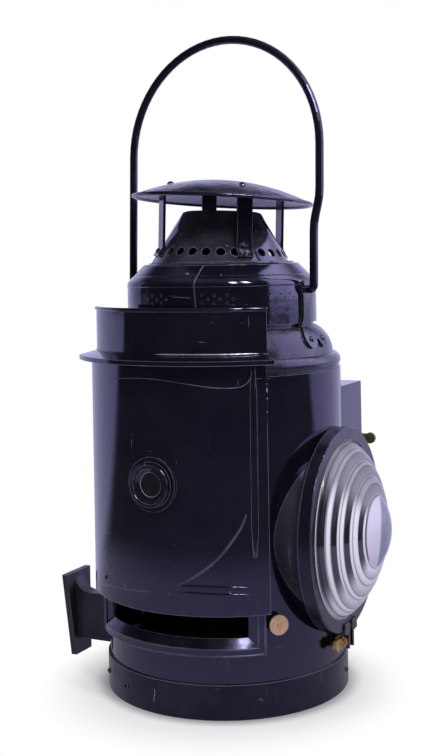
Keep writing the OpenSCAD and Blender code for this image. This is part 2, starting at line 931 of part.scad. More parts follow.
// Stepped ferrule of the peephole, with a back flange inside the door
module peephole_ferrule() {
    front = door_r + 4.6;
    glass_r = peep_glass_d / 2;
    color(enamel)
        at_door()
            difference() {
                translate([0, 0, peep_z])
                    rotate([0, 90, 0])
                        rotate_extrude()
                            difference() {
                                union() {
                                    translate([glass_r - 2.6, door_r - 2])
                                        square([peep_d / 2 - glass_r + 2.6, 3.2]);
                                    translate([glass_r - 2.6, door_r - 2])
                                        square([8, front - door_r + 2]);
                                    translate([glass_r + 5.4 - 1.2, front])
                                        circle(1.2, $fn = 24);
                                }
                                translate([glass_r - 3, door_r - 3])
                                    square([3 + seat, 5 + seat]);
                                polygon([
                                    [glass_r - 3, front + 0.1], [glass_r + 1.6, front + 0.1],
                                    [glass_r - 3, front - 3],
                                ]);
                            }
                translate([0, 0, peep_z - peep_d])
                    cylinder(h = 2 * peep_d, r = door_r + seat, $fn = 180);
            }
}

// Round pane behind the ferrule, with its rim against the ferrule's inner lip
module peephole_glass() {
    color("#3b3f46")
        at_door()
            translate([door_r - 1.2, 0, peep_z])
                rotate([0, 90, 0])
                    cylinder(h = 2.6, r = peep_glass_d / 2 - seat);
}

// Lens

// Flared collar from the drum to the lens, with a seat flange and a saddle cut to the drum
module lens_collar() {
    flare_r = collar_flange_r - 5;
    color(enamel)
        difference() {
            on_lens_axis()
                rotate_extrude()
                    difference() {
                        union() {
                            translate([collar_r, 50])
                                square([collar_wall, flange_front - 50]);
                            translate([collar_r, flange_front - collar_flange_t])
                                square([collar_flange_r - collar_r, collar_flange_t]);
                            polygon(concat(
                                [[collar_r, 60], [collar_r + collar_wall, 60]],
                                arc(flare_r + 9, flange_front - 14, 17 - collar_wall, 180, 130, 8),
                                [[flare_r, flange_front], [collar_r, flange_front]]
                            ));
                        }
                        square([collar_r, 200]);
                    }
            translate([0, 0, lens_z - 100])
                cylinder(h = 200, r = drum_r + seat, $fn = 180);
        }
}

// Packing ring between the collar and the lens
module lens_gasket() {
    color("#3a352f")
        on_lens_axis()
            translate([0, 0, flange_front + seat])
                difference() {
                    cylinder(h = gasket_t, r = lens_d / 2);
                    translate([0, 0, -1])
                        cylinder(h = gasket_t + 2, r = lens_d / 2 - 6);
                }
}

// Height of the lens's round envelope over its rim at a given radius
function crown(r) = sqrt(pow(lens_sphere, 2) - r * r) - lens_sphere + lens_crown;

// Stepped front of the lens: each ring has an upright riser and a swelling tread
function lens_front_points() = [
    for (i = [0:len(lens_steps) - 2])
        let (
            r0 = lens_steps[i],
            r1 = lens_steps[i + 1],
            x0 = crown(r0) + (crown(r1) - crown(r0)) * 0.45,
            x1 = crown(r1)
        )
        for (k = [0:5])
            let (t = k / 5)
            [r0 + (r1 - r0) * t + step_run * (t - 0.5), x0 + (x1 - x0) * sin(90 * t)]
];

// Bull's-eye lens with concentric steps and a hollow back
module lens() {
    eye_r = lens_steps[len(lens_steps) - 1];
    eye_x = crown(eye_r) + 1;
    eye_sphere = (eye_r * eye_r + eye_crown * eye_crown) / (2 * eye_crown);
    color("#d9dbe6")
        on_lens_axis()
            rotate_extrude($fn = 120)
                difference() {
                    union() {
                        translate([0, lens_back])
                            square([lens_d / 2 - seat, lens_rim_t]);
                        translate([0, lens_front - eps])
                            polygon(concat(
                                [[0, 0], [lens_steps[0], 0]],
                                lens_front_points(),
                                [[eye_r, eye_x], [0, eye_x]]
                            ));
                        intersection() {
                            translate([0, lens_front + eye_x + eye_crown - eye_sphere])
                                circle(eye_sphere, $fn = 240);
                            translate([0, lens_front])
                                square([eye_r, 60]);
                        }
                    }
                    translate([0, lens_back - 62])
                        circle(82, $fn = 240);
                }
}

// Pressed bezel that holds the lens against the collar
module lens_bezel() {
    back = bezel_front - bezel_depth;
    corner = 1.2;
    color(enamel)
        on_lens_axis()
            rotate_extrude($fn = 180)
                difference() {
                    union() {
                        translate([bezel_sight_r, back])
                            square([bezel_r - bezel_sight_r - corner, bezel_depth]);
                        translate([bezel_sight_r, back])
                            square([bezel_r - bezel_sight_r, bezel_depth - corner]);
                        translate([bezel_r - corner, bezel_front - corner])
                            circle(corner, $fn = 32);
                    }
                    translate([bezel_sight_r - 1, back - 1])
                        square([bezel_r - bezel_wall - bezel_sight_r + 1, bezel_depth + 1 - bezel_wall]);
                }
}

// Clasp

// Strap end folded over the bezel's edge, with the upright plate that the clasp screw draws on
module clasp_ear(side) {
    a0 = 2.4;
    a1 = 9.4;
    outer = bezel_r + seat + clasp_strap;
    plate_h = bezel_r + clasp_drop + 5;
    front = bezel_front + seat + clasp_strap;
    color(enamel)
        difference() {
            union() {
                on_lens_axis()
                    rotate([0, 0, side > 0 ? a0 : -a1])
                        rotate_extrude(angle = a1 - a0) {
                            translate([bezel_r + seat, bezel_front - 7])
                                square([clasp_strap, front - bezel_front + 7]);
                            translate([outer - 8, bezel_front + seat])
                                square([8, clasp_strap]);
                        }
                translate([bezel_front - 7, side > 0 ? clasp_half_gap : -clasp_half_gap - clasp_plate_t, 0])
                    translate([0, 0, lens_z - plate_h])
                        cube([front - bezel_front + 7, clasp_plate_t, plate_h - bezel_r - 0.4]);
            }
            translate([clasp_x, 0, clasp_z])
                rotate([90, 0, 0])
                    cylinder(h = 40, d = clasp_d + 2 * run_fit, center = true, $fn = 48);
        }
}

// Thumb screw along +Z with its collar on z = 0: shank below, flat round-ended wing above
module thumb_screw(d, shank_l) {
    translate([0, 0, -shank_l])
        cylinder(h = shank_l + eps, d = d, $fn = 48);
    cylinder(h = collar_disc_t, d = wing_w + 1, $fn = 48);
    translate([0, 0, collar_disc_t])
        cylinder(h = 3, d = d + 1, $fn = 48);
    translate([0, wing_t / 2, collar_disc_t + wing_l - wing_w / 2])
        rotate([90, 0, 0])
            cylinder(h = wing_t, d = wing_w, $fn = 48);
    translate([-wing_w / 2 + 1, -wing_t / 2, collar_disc_t - eps])
        cube([wing_w - 2, wing_t, wing_l - wing_w / 2]);
}

// Brass screw that draws the two clasp ears together
module clasp_screw() {
    color(brass)
        translate([clasp_x, -clasp_half_gap - clasp_plate_t - run_fit, clasp_z])
            rotate([90, 0, 0])
                rotate([0, 0, 90])
                    thumb_screw(clasp_d, 2 * (clasp_half_gap + clasp_plate_t) + 7);
}

// Square brass nut on the far clasp ear
module clasp_nut() {
    nut_w = 9;
    nut_t = 4;
    color(brass)
        difference() {
            translate([clasp_x - nut_w / 2, clasp_half_gap + clasp_plate_t + seat, clasp_z - nut_w / 2])
                cube([nut_w, nut_t, nut_w]);
            translate([clasp_x, 0, clasp_z])
                rotate([90, 0, 0])
                    cylinder(h = 60, d = clasp_d + 2 * run_fit, center = true, $fn = 48);
        }
}

// Bracket lug

// Side view of the lug plate, leaning in towards the drum at its bottom
module lug_plate_side() {
    polygon([
        [-lug_reach, lug_h + lug_z], [-lug_reach - lug_t, lug_h + lug_z],
        [-lug_reach - lug_t + lug_draft, lug_z], [-lug_reach + lug_draft, lug_z],
    ]);
}

// Side view of the web, with the round sweep up to the plate's top
module lug_web_side() {
    top = lug_web_z + lug_web_h;
    sweep = lug_h + lug_z - 2 - top;
    difference() {
        union() {
            translate([-lug_reach, lug_web_z])
                square([lug_reach - drum_r + 6, lug_web_h]);
            translate([-lug_reach - 0.5, top - 1])
                square([sweep + 0.5, sweep + 1]);
        }
        translate([-lug_reach + sweep, top + sweep])
            circle(sweep);
        translate([-lug_reach - 5 + lug_draft / 4, lug_web_z])
            square([5 - lug_draft / 4, 1]);
    }
}

// Cast lug: a plate with tapered sides for the engine's bracket, a web and a saddle pad
module bracket_lug() {
    pad_top = lug_web_z + lug_web_h + 6;
    pad_z = base_h + 1;
    half_a = lug_pad_w / 2 / drum_r * 180 / PI;
    color("#211f27")
        difference() {
            union() {
                intersection() {
                    rotate([90, 0, 0])
                        linear_extrude(height = 80, center = true)
                            lug_plate_side();
                    rotate([90, 0, -90])
                        linear_extrude(height = lug_reach + 20)
                            polygon([
                                [-lug_top_w / 2, lug_h + lug_z], [lug_top_w / 2, lug_h + lug_z],
                                [lug_bottom_w / 2, lug_z], [-lug_bottom_w / 2, lug_z],
                            ]);
                }
                rotate([90, 0, 0])
                    linear_extrude(height = lug_web_t, center = true)
                        lug_web_side();
                band(drum_r, drum_r + lug_pad_t, pad_z, pad_top, 180 - half_a, 180 + half_a);
            }
            cylinder(h = 100, r = drum_r + seat, $fn = 180);
            cylinder(h = base_h + seat, r = base_r + seat, $fn = 180);
        }
}

// Rivet heads that hold the lug's pad to the drum
module lug_rivets() {
    color(enamel)
        for (z = [base_h + 8, lug_web_z + lug_web_h - 1])
            for (a = [172, 188])
                wall_rivet(drum_r + lug_pad_t, a, z, 6, 2.2);
}

// Bracket socket

// Sheet socket on the drum's back, closed at the top and open below for a bracket's blade
module rear_socket() {
    color(enamel)
        difference() {
            translate([socket_x - socket_w, 0, socket_top - socket_h])
                cube([socket_w, socket_y, socket_h]);
            translate([socket_x - socket_w + socket_wall, -1, socket_top - socket_h - 1])
                cube([socket_w - 2 * socket_wall, socket_y + 1 - socket_wall, socket_h + 1 - socket_wall]);
            translate([0, 0, socket_top - socket_h - 1])
                cylinder(h = socket_h + 2, r = drum_r + seat, $fn = 180);
            on_lens_axis()
                cylinder(h = socket_x + 5, r = collar_r + 4.5);
            translate([socket_x, socket_screw_y, socket_screw_z])
                rotate([0, 90, 0])
                    cylinder(h = 20, d = socket_screw_d + 4 * run_fit, center = true, $fn = 48);
        }
}

// Nut fixed inside the socket's lens-side wall
module socket_nut() {
    color(brass)
        translate([socket_x - socket_wall - seat - socket_nut_t, socket_screw_y, socket_screw_z])
            difference() {
                translate([0, -socket_nut_w / 2, -socket_nut_w / 2])
                    cube([socket_nut_t, socket_nut_w, socket_nut_w]);
                rotate([0, 90, 0])
                    cylinder(h = 20, d = socket_screw_d + 2 * run_fit, center = true, $fn = 48);
            }
}

// Brass screw that clamps the bracket's blade in the socket
module socket_screw() {
    color(brass)
        translate([socket_x + run_fit, socket_screw_y, socket_screw_z])
            rotate([0, 90, 0])
                thumb_screw(socket_screw_d, socket_wall + socket_nut_t + 4);
}

// Oil fount and burner

// Frame of the winder: +X along the winding shaft, at its height, set beside the wick
module winder_frame() {
    rotate([0, 0, winder_angle])
        translate([0, winder_off, winder_z])
            children();
}

// Soldered oil fount with a round lower edge, hollow, with holes for the burner and the filler
module oil_fount() {
    z0 = floor_top + seat;
    wall = 1;
    round_r = 4;
    color("#8d8f96")
        difference() {
            rotate_extrude()
                difference() {
                    union() {
                        translate([0, z0])
                            square([fount_r - round_r, fount_h]);
                        translate([0, z0 + round_r])
                            square([fount_r, fount_h - round_r]);
                        translate([fount_r - round_r, z0 + round_r])
                            circle(round_r, $fn = 48);
                    }
                    translate([0, z0 + wall])
                        square([fount_r - round_r, fount_h - 2 * wall]);
                    translate([0, z0 + round_r])
                        square([fount_r - wall, fount_h - round_r - wall]);
                }
            cylinder(h = 200, r = burner_r - 5);
            rotate([0, 0, winder_angle + 180])
                translate([fount_r - filler_r - 8, 0, fount_top - 5])
                    cylinder(h = 10, r = filler_r - 3);
        }
}

// Threaded neck on the fount for the burner
module fount_collar() {
    color(brass)
        difference() {
            union() {
                translate([0, 0, fount_top + seat])
                    cylinder(h = 1.2, r = burner_r);
                translate([0, 0, fount_top + seat])
                    cylinder(h = neck_h - 2 * seat, r = burner_r - 2);
            }
            cylinder(h = 200, r = burner_r - 5);
        }
}

// Screwed filler cap with a fluted edge
module filler_cap() {
    flutes = 16;
    color(brass)
        rotate([0, 0, winder_angle + 180])
            translate([fount_r - filler_r - 8, 0, fount_top + run_fit])
                difference() {
                    union() {
                        cylinder(h = 6, r = filler_r);
                        translate([0, 0, -4])
                            cylinder(h = 5, r = filler_r - 3 - run_fit);
                    }
                    for (i = [0:flutes - 1])
                        rotate([0, 0, 360 / flutes * i])
                            translate([filler_r + 0.5, 0, 1])
                                cylinder(h = 6, r = 1, $fn = 16);
                }
}

// Burner: a short drum with a slot for the wick tube, air holes and the shaft's hole
module burner_body() {
    slot_w = wick_w + 2 * (tube_gap + tube_wall + seat);
    slot_t = wick_t + 2 * (tube_gap + tube_wall + seat);
    holes = 18;
    color(brass)
        difference() {
            cylinder_from(burner_z, burner_h, burner_r);
            cylinder_from(burner_z + burner_wall, burner_h - 2 * burner_wall, burner_r - burner_wall);
            rotate([0, 0, winder_angle])
                translate([-slot_w / 2, -slot_t / 2, 0])
                    cube([slot_w, slot_t, 200]);
            winder_frame()
                rotate([0, 90, 0])
                    cylinder(h = 60, d = winder_d + 2 * run_fit, $fn = 48);
            for (i = [0:holes - 1])
                rotate([0, 0, 360 / holes * i])
                    translate([burner_r - 4.2, 0, gallery_z - 3])
                        cylinder(h = 5, d = 2.6, $fn = 24);
        }
}

// Plain cylinder that starts at a given height
module cylinder_from(z, h, r) {
    translate([0, 0, z])
        cylinder(h = h, r = r);
}

// Domed deflector with the flame slot
module burner_cone() {
    rise = cone_tip_z - gallery_z;
    sphere_r = (pow(burner_r - 1, 2) + rise * rise) / (2 * rise);
    color(brass)
        difference() {
            translate([0, 0, gallery_z + seat])
                rotate_extrude()
                    intersection() {
                        difference() {
                            translate([0, rise - sphere_r])
                                circle(sphere_r);
                            translate([0, rise - sphere_r])
                                circle(sphere_r - 0.9);
                        }
                        square([burner_r, rise + 1]);
                    }
            rotate([0, 0, winder_angle])
                translate([-wick_w / 2 - 2, -3.6, gallery_z + 8])
                    cube([wick_w + 4, 7.2, 30]);
        }
}

// Flat tube that guides the wick, with a window for the winding wheel
module wick_tube() {
    in_w = wick_w + 2 * tube_gap;
    in_t = wick_t + 2 * tube_gap;
    out_w = in_w + 2 * tube_wall;
    out_t = in_t + 2 * tube_wall;
    z0 = burner_z - 8;
    color(brass)
        rotate([0, 0, winder_angle])
            difference() {
                translate([-out_w / 2, -out_t / 2, z0])
                    cube([out_w, out_t, cone_tip_z - 6 - z0]);
                translate([-in_w / 2, -in_t / 2, z0 - 1])
                    cube([in_w, in_t, cone_tip_z + 10 - z0]);
                translate([-2.6, 0, winder_z - winder_wheel_r])
                    cube([5.2, out_t, 2 * winder_wheel_r]);
            }
}

// Flat woven wick
module wick() {
    color("#d8d2c2")
        rotate([0, 0, winder_angle])
            translate([-wick_w / 2, -wick_t / 2, floor_top + 10])
                cube([wick_w, wick_t, cone_tip_z - 3 - floor_top - 10]);
}

// Toothed wheel that lifts the wick
module winder_wheel() {
    teeth = 14;
    color(brass)
        winder_frame()
            rotate([0, 90, 0])
                difference() {
                    cylinder(h = 3.6, r = winder_wheel_r, center = true);
                    for (i = [0:teeth - 1])
                        rotate([0, 0, 360 / teeth * i])
                            translate([winder_wheel_r + 0.3, 0, 0])
                                cylinder(h = 6, r = 0.9, center = true, $fn = 16);
                    cylinder(h = 6, d = winder_d + seat, center = true, $fn = 48);
                }
}

// Winding shaft from the wheel out through the drum
module winder_shaft() {
    color(brass)
        winder_frame()
            translate([-4, 0, 0])
                rotate([0, 90, 0])
                    cylinder(h = drum_r + bush_t + 4 + knob_t + 1, d = winder_d, $fn = 48);
}

// Bush on the drum's outside that carries the winding shaft
module winder_bush() {
    color(enamel)
        difference() {
            winder_frame()
                rotate([0, 90, 0])
                    cylinder(h = drum_r + bush_t, r = bush_r);
            winder_frame()
                rotate([0, 90, 0])
                    cylinder(h = drum_r + bush_t + 2, d = winder_d + 2 * run_fit, $fn = 48);
            cylinder(h = 200, r = drum_r + seat, $fn = 180);
        }
}

// Brass knob: a flat disc on the shaft's outer end
module winder_knob() {
    color(brass)
        winder_frame()
            translate([drum_r + bush_t + run_fit, 0, 0])
                rotate([0, 90, 0])
                    difference() {
                        cylinder(h = knob_t, d = knob_d);
                        translate([0, 0, -1])
                            cylinder(h = knob_t + 2, d = winder_d + seat, $fn = 48);
                    }
}

base_ring();
base_floor();
body_shell();
base_rivets();
shoulder();
draft_ring();
vent_dome();
chimney_cone();
cap_leg(leg_angles[0]);  // cap_leg_1
cap_leg(leg_angles[1]);  // cap_leg_2
cap_leg(leg_angles[2]);  // cap_leg_3
cap_leg(leg_angles[3]);  // cap_leg_4
smoke_cap();
cap_rivets();
leg_rivets();
bail();
at_bail() bail_ear();  // bail_ear_lens_side
at_bail() mirror([1, 0, 0]) bail_ear();  // bail_ear_lug_side
ear_rivets();
door_frame();
door_panel();
door_hood();
door_rivets();
peephole_ferrule();
peephole_glass();
lens_collar();
lens_gasket();
lens();
lens_bezel();
clasp_ear(-1);  // clasp_ear_near
clasp_ear(1);  // clasp_ear_far
clasp_screw();
clasp_nut();
bracket_lug();
lug_rivets();
rear_socket();
socket_nut();
socket_screw();
oil_fount();
fount_collar();
filler_cap();
burner_body();
burner_cone();
wick_tube();
wick();
winder_wheel();
winder_shaft();
winder_bush();
winder_knob();
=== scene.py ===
import math

import bmesh
import bpy
from mathutils import Matrix, Vector


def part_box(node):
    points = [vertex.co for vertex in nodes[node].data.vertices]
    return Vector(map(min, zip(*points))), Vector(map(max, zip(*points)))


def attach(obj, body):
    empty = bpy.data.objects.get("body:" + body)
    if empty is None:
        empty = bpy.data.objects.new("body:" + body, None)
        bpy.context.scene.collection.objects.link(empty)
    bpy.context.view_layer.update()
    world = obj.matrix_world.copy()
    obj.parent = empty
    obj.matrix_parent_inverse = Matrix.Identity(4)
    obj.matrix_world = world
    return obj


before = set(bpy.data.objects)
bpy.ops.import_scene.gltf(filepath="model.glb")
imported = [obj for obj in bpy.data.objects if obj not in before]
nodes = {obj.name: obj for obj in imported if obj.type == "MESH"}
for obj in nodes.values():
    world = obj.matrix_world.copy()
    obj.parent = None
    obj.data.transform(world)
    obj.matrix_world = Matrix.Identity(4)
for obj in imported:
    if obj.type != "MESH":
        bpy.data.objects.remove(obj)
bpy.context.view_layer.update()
print("stage: frame loaded")

# The camera stands to the right of the door, level, with its view shifted down
cameraView = {
    "place": (0.42255, -0.85427, 0.331),
    "turn": 26.5,
    "roll": -1.04,
    "lens": 56.66,
    "sensor": 36.0,
    "shiftY": -0.1534,
    "nearest": 0.01,
}


def placeCamera(view):
    data = bpy.data.cameras.new("studioCamera")
    data.sensor_fit = "VERTICAL"
    data.sensor_height = view["sensor"]
    data.lens = view["lens"]
    data.shift_y = view["shiftY"]
    data.clip_start = view["nearest"]
    camera = bpy.data.objects.new("studioCamera", data)
    bpy.context.scene.collection.objects.link(camera)
    turn = Matrix.Rotation(math.radians(view["turn"]), 4, "Z")
    level = Matrix.Rotation(math.radians(90), 4, "X")
    roll = Matrix.Rotation(math.radians(view["roll"]), 4, "Z")
    camera.matrix_world = Matrix.Translation(view["place"]) @ turn @ level @ roll
    bpy.context.scene.camera = camera


placeCamera(cameraView)
bpy.context.scene.view_settings.view_transform = "Standard"
print("stage: camera placed")


# Small helpers for material trees
def newMaterial(name):
    material = bpy.data.materials.new(name)
    material.use_nodes = True
    tree = material.node_tree
    return material, tree, tree.nodes["Principled BSDF"]


def addNode(tree, kind, settings=None, **inputs):
    node = tree.nodes.new(kind)
    for key, value in (settings or {}).items():
        setattr(node, key, value)
    for key, value in inputs.items():
        node.inputs[key].default_value = value
    return node


def plug(tree, value, socket):
    if isinstance(value, bpy.types.NodeSocket):
        tree.links.new(value, socket)
    elif isinstance(value, (int, float)):
        socket.default_value = value
    else:
        socket.default_value = value if len(value) == 4 else (*value, 1)


def grey(level):
    return (level, level, level, 1)


def objectPlace(tree, scale=(1, 1, 1), centre=(0, 0, 0), turn=(0, 0, 0)):
    coordinates = tree.nodes.new("ShaderNodeTexCoord")
    mapping = addNode(tree, "ShaderNodeMapping", Location=centre, Rotation=turn, Scale=scale)
    plug(tree, coordinates.outputs["Object"], mapping.inputs["Vector"])
    return mapping.outputs["Vector"]


def noise(tree, place, scale, detail=3.0, rough=0.5):
    texture = addNode(tree, "ShaderNodeTexNoise", Scale=scale, Detail=detail, Roughness=rough)
    plug(tree, place, texture.inputs["Vector"])
    return texture.outputs["Fac"]


def ramp(tree, factor, stops):
    node = tree.nodes.new("ShaderNodeValToRGB")
    elements = node.color_ramp.elements
    while len(elements) < len(stops):
        elements.new(0.5)
    for element, (position, colour) in zip(elements, stops):
        element.position = position
        element.color = colour if len(colour) == 4 else (*colour, 1)
    plug(tree, factor, node.inputs["Fac"])
    return node.outputs["Color"]


def mixColour(tree, factor, first, second):
    node = addNode(tree, "ShaderNodeMix", {"data_type": "RGBA"})
    sockets = (node.inputs[0], node.inputs[6], node.inputs[7])  # factor and the two colours
    for socket, value in zip(sockets, (factor, first, second)):
        plug(tree, value, socket)
    return node.outputs[2]


def maths(tree, kind, *values, clamp=False):
    node = addNode(tree, "ShaderNodeMath", {"operation": kind, "use_clamp": clamp})
    for socket, value in zip(node.inputs, values):
        plug(tree, value, socket)
    return node.outputs[0]


def fade(tree, value, low, high, start=0.0, end=1.0):
    node = addNode(tree, "ShaderNodeMapRange", {"interpolation_type": "SMOOTHSTEP"})
    for name, amount in (("From Min", low), ("From Max", high), ("To Min", start), ("To Max", end)):
        node.inputs[name].default_value = amount
    plug(tree, value, node.inputs["Value"])
    return node.outputs["Result"]


def vectorMaths(tree, kind, first, second=None):
    node = addNode(tree, "ShaderNodeVectorMath", {"operation": kind})
    plug(tree, first, node.inputs[0])
    if isinstance(second, bpy.types.NodeSocket):
        plug(tree, second, node.inputs[1])
    elif second is not None:
        node.inputs[1].default_value = second
    return node


def edgeMask(tree, radius, samples):
    bevel = addNode(tree, "ShaderNodeBevel", {"samples": samples}, Radius=radius)
    shape = tree.nodes.new("ShaderNodeNewGeometry")
    product = vectorMaths(tree, "DOT_PRODUCT", bevel.outputs["Normal"], shape.outputs["Normal"])
    return maths(tree, "SUBTRACT", 1.0, product.outputs["Value"], clamp=True)


def bump(tree, height, strength, distance, before=None):
    node = addNode(tree, "ShaderNodeBump", Strength=strength, Distance=distance)
    plug(tree, height, node.inputs["Height"])
    if before is not None:
        plug(tree, before, node.inputs["Normal"])
    return node.outputs["Normal"]


# Black enamel: each part of the lamp has its own dents, scratches and worn edges; some also have
# painted highlights, or colours made lighter as painted light
enamelLook = {
    "deep": (0.0032, 0.003, 0.0066),
    "dusty": (0.0062, 0.0058, 0.0105),
    "bare": (0.2, 0.19, 0.23),
    "tint": (0.6, 0.57, 1.0, 1),
    "rough": (0.07, 0.13),
    "specular": 1.0,
    "dent": 0.5,
    "dentScale": 13.0,
    "dentDepth": 0.0006,
    "peel": 0.1,
    "peelScale": 260.0,
    "scratch": 0.25,
    "edge": 0.0009,
    "edgeAmount": 0.8,
    "chips": 0.76,
    "marks": [],
}

# What all the enamels share: a grain is scale, detail and roughness, a range is where it fades in
enamelGrain = {
    "cloud": (38.0, 5.0, 0.6),
    "cloudRange": (0.38, 0.72),
    "scratch": (1.0, 2.0, 0.4),
    "scratchWays": [
        {"stretch": (620, 620, 24), "turn": (0.07, -0.05, 0), "range": (0.7, 0.77)},
        {"stretch": (50, 50, 1000), "turn": (0.12, 0.2, 0), "range": (0.71, 0.78)},
    ],
    "patch": (22.0, 4.0, 0.6),
    "patchRange": (0.54, 0.68),
    "chip": (280.0, 6.0, 0.7),
    "chipSpread": 0.04,
    "ragged": (240.0, 5.0, 0.7),
    "edgeSamples": 4,
    "edgeGain": 4.0,
    "edgeRange": (0.3, 0.62),
    "markCore": 0.4,
    "markRange": (0.45, 0.6),
    "markAmount": 0.8,
    "gloss": (60.0, 6.0, 0.65),
    "glossRange": (0.3, 0.75),
    "bareRough": 0.42,
    "peelDepth": 0.0002,
    "wearBump": 0.3,
    "wearDepth": 0.0001,
}


def scratches(tree, place, amount, grain):
    lines = []
    for way in grain["scratchWays"]:
        along = objectPlace(tree, scale=way["stretch"], turn=way["turn"])
        lines.append(fade(tree, noise(tree, along, *grain["scratch"]), *way["range"]))
    patches = fade(tree, noise(tree, place, *grain["patch"]), *grain["patchRange"])
    scratched = maths(tree, "MULTIPLY", maths(tree, "MAXIMUM", *lines), patches)
    return maths(tree, "MULTIPLY", scratched, amount, clamp=True)


def enamelWear(tree, place, look, grain):
    scratched = scratches(tree, place, look["scratch"], grain)
    chips = noise(tree, place, *grain["chip"])
    chipped = fade(tree, chips, look["chips"], look["chips"] + grain["chipSpread"])
    ragged = noise(tree, place, *grain["ragged"])
    edges = edgeMask(tree, look["edge"], grain["edgeSamples"])
    worn = maths(tree, "MULTIPLY", edges, grain["edgeGain"] * look["edgeAmount"])
    worn = fade(tree, maths(tree, "MULTIPLY", worn, ragged), *grain["edgeRange"])
    wearAndHighlight = maths(tree, "MAXIMUM", maths(tree, "MAXIMUM", scratched, chipped), worn)
    for spot, reach in look["marks"]:  # painted highlights: bright bare spots where a highlight falls
        far = vectorMaths(tree, "DISTANCE", place, spot).outputs["Value"]
        near = fade(tree, far, reach, reach * grain["markCore"])
        rubbedAndHighlit = maths(tree, "MULTIPLY", near, fade(tree, ragged, *grain["markRange"]))
        rubbedAndHighlit = maths(tree, "MULTIPLY", rubbedAndHighlit, grain["markAmount"])
        wearAndHighlight = maths(tree, "MAXIMUM", wearAndHighlight, rubbedAndHighlit)
    return wearAndHighlight


def blackEnamel(name, **changes):
    look, grain = {**enamelLook, **changes}, enamelGrain
    material, tree, shader = newMaterial(name)
    place = objectPlace(tree)
    cloud = noise(tree, place, *grain["cloud"])
    body = ramp(tree, cloud, list(zip(grain["cloudRange"], (look["deep"], look["dusty"]))))
    wearAndHighlight = enamelWear(tree, place, look, grain)
    plug(tree, mixColour(tree, wearAndHighlight, body, look["bare"]), shader.inputs["Base Color"])
    gloss = fade(tree, noise(tree, place, *grain["gloss"]), *grain["glossRange"], *look["rough"])
    gloss = mixColour(tree, wearAndHighlight, gloss, grey(grain["bareRough"]))
    plug(tree, gloss, shader.inputs["Roughness"])
    shader.inputs["Specular IOR Level"].default_value = look["specular"]
    shader.inputs["Specular Tint"].default_value = look["tint"]
    dents = bump(tree, noise(tree, place, look["dentScale"]), look["dent"], look["dentDepth"])
    peel = noise(tree, place, look["peelScale"])
    peel = bump(tree, peel, look["peel"], grain["peelDepth"], dents)
    wear = bump(tree, wearAndHighlight, grain["wearBump"], grain["wearDepth"], peel)
    plug(tree, wear, shader.inputs["Normal"])
    return material


# Bare metals, with the same kinds of grain and range
metalLook = {
    "bright": (0.55, 0.36, 0.15),
    "dull": (0.33, 0.21, 0.09),
    "dark": (0.07, 0.045, 0.025),
    "rough": (0.28, 0.5),
    "stain": 0.6,
    "stainSpread": 0.12,
    "metallic": 0.75,
    "bodyGrain": (160.0, 6.0, 0.7),
    "bodyRange": (0.35, 0.62),
    "stainGrain": (420.0, 5.0, 0.7),
    "glossGrain": (240.0, 4.0, 0.55),
    "glossRange": (0.3, 0.7),
    "pitGrain": (900.0, 3.0, 0.55),
    "pitBump": 0.2,
    "pitDepth": 0.0003,
}


def agedMetal(name, **changes):
    look = {**metalLook, **changes}
    material, tree, shader = newMaterial(name)
    place = objectPlace(tree)
    colours = list(zip(look["bodyRange"], (look["dull"], look["bright"])))
    body = ramp(tree, noise(tree, place, *look["bodyGrain"]), colours)
    stains = noise(tree, place, *look["stainGrain"])
    stains = fade(tree, stains, look["stain"], look["stain"] + look["stainSpread"])
    plug(tree, mixColour(tree, stains, body, look["dark"]), shader.inputs["Base Color"])
    gloss = noise(tree, place, *look["glossGrain"])
    gloss = fade(tree, gloss, *look["glossRange"], *look["rough"])
    plug(tree, gloss, shader.inputs["Roughness"])
    shader.inputs["Metallic"].default_value = look["metallic"]
    pits = bump(tree, noise(tree, place, *look["pitGrain"]), look["pitBump"], look["pitDepth"])
    plug(tree, pits, shader.inputs["Normal"])
    return material


cottonLook = {
    "turn": 45,
    "scale": 420.0,
    "distort": 2.0,
    "detail": 2.0,
    "range": (0.2, 0.8),
    "rough": 0.9,
    "sheen": 0.3,
    "bump": 0.6,
    "depth": 0.0004,
}


def wovenCotton(name, pale, dark):
    look = cottonLook
    material, tree, shader = newMaterial(name)
    place = objectPlace(tree, turn=(0, 0, math.radians(look["turn"])))
    weave = addNode(tree, "ShaderNodeTexWave", {"bands_direction": "Z"}, Scale=look["scale"],
                    Distortion=look["distort"], Detail=look["detail"])
    plug(tree, place, weave.inputs["Vector"])
    threads = ramp(tree, weave.outputs["Fac"], list(zip(look["range"], (dark, pale))))
    plug(tree, threads, shader.inputs["Base Color"])
    shader.inputs["Roughness"].default_value = look["rough"]
    shader.inputs["Sheen Weight"].default_value = look["sheen"]
    ribs = bump(tree, weave.outputs["Fac"], look["bump"], look["depth"])
    plug(tree, ribs, shader.inputs["Normal"])
    return material
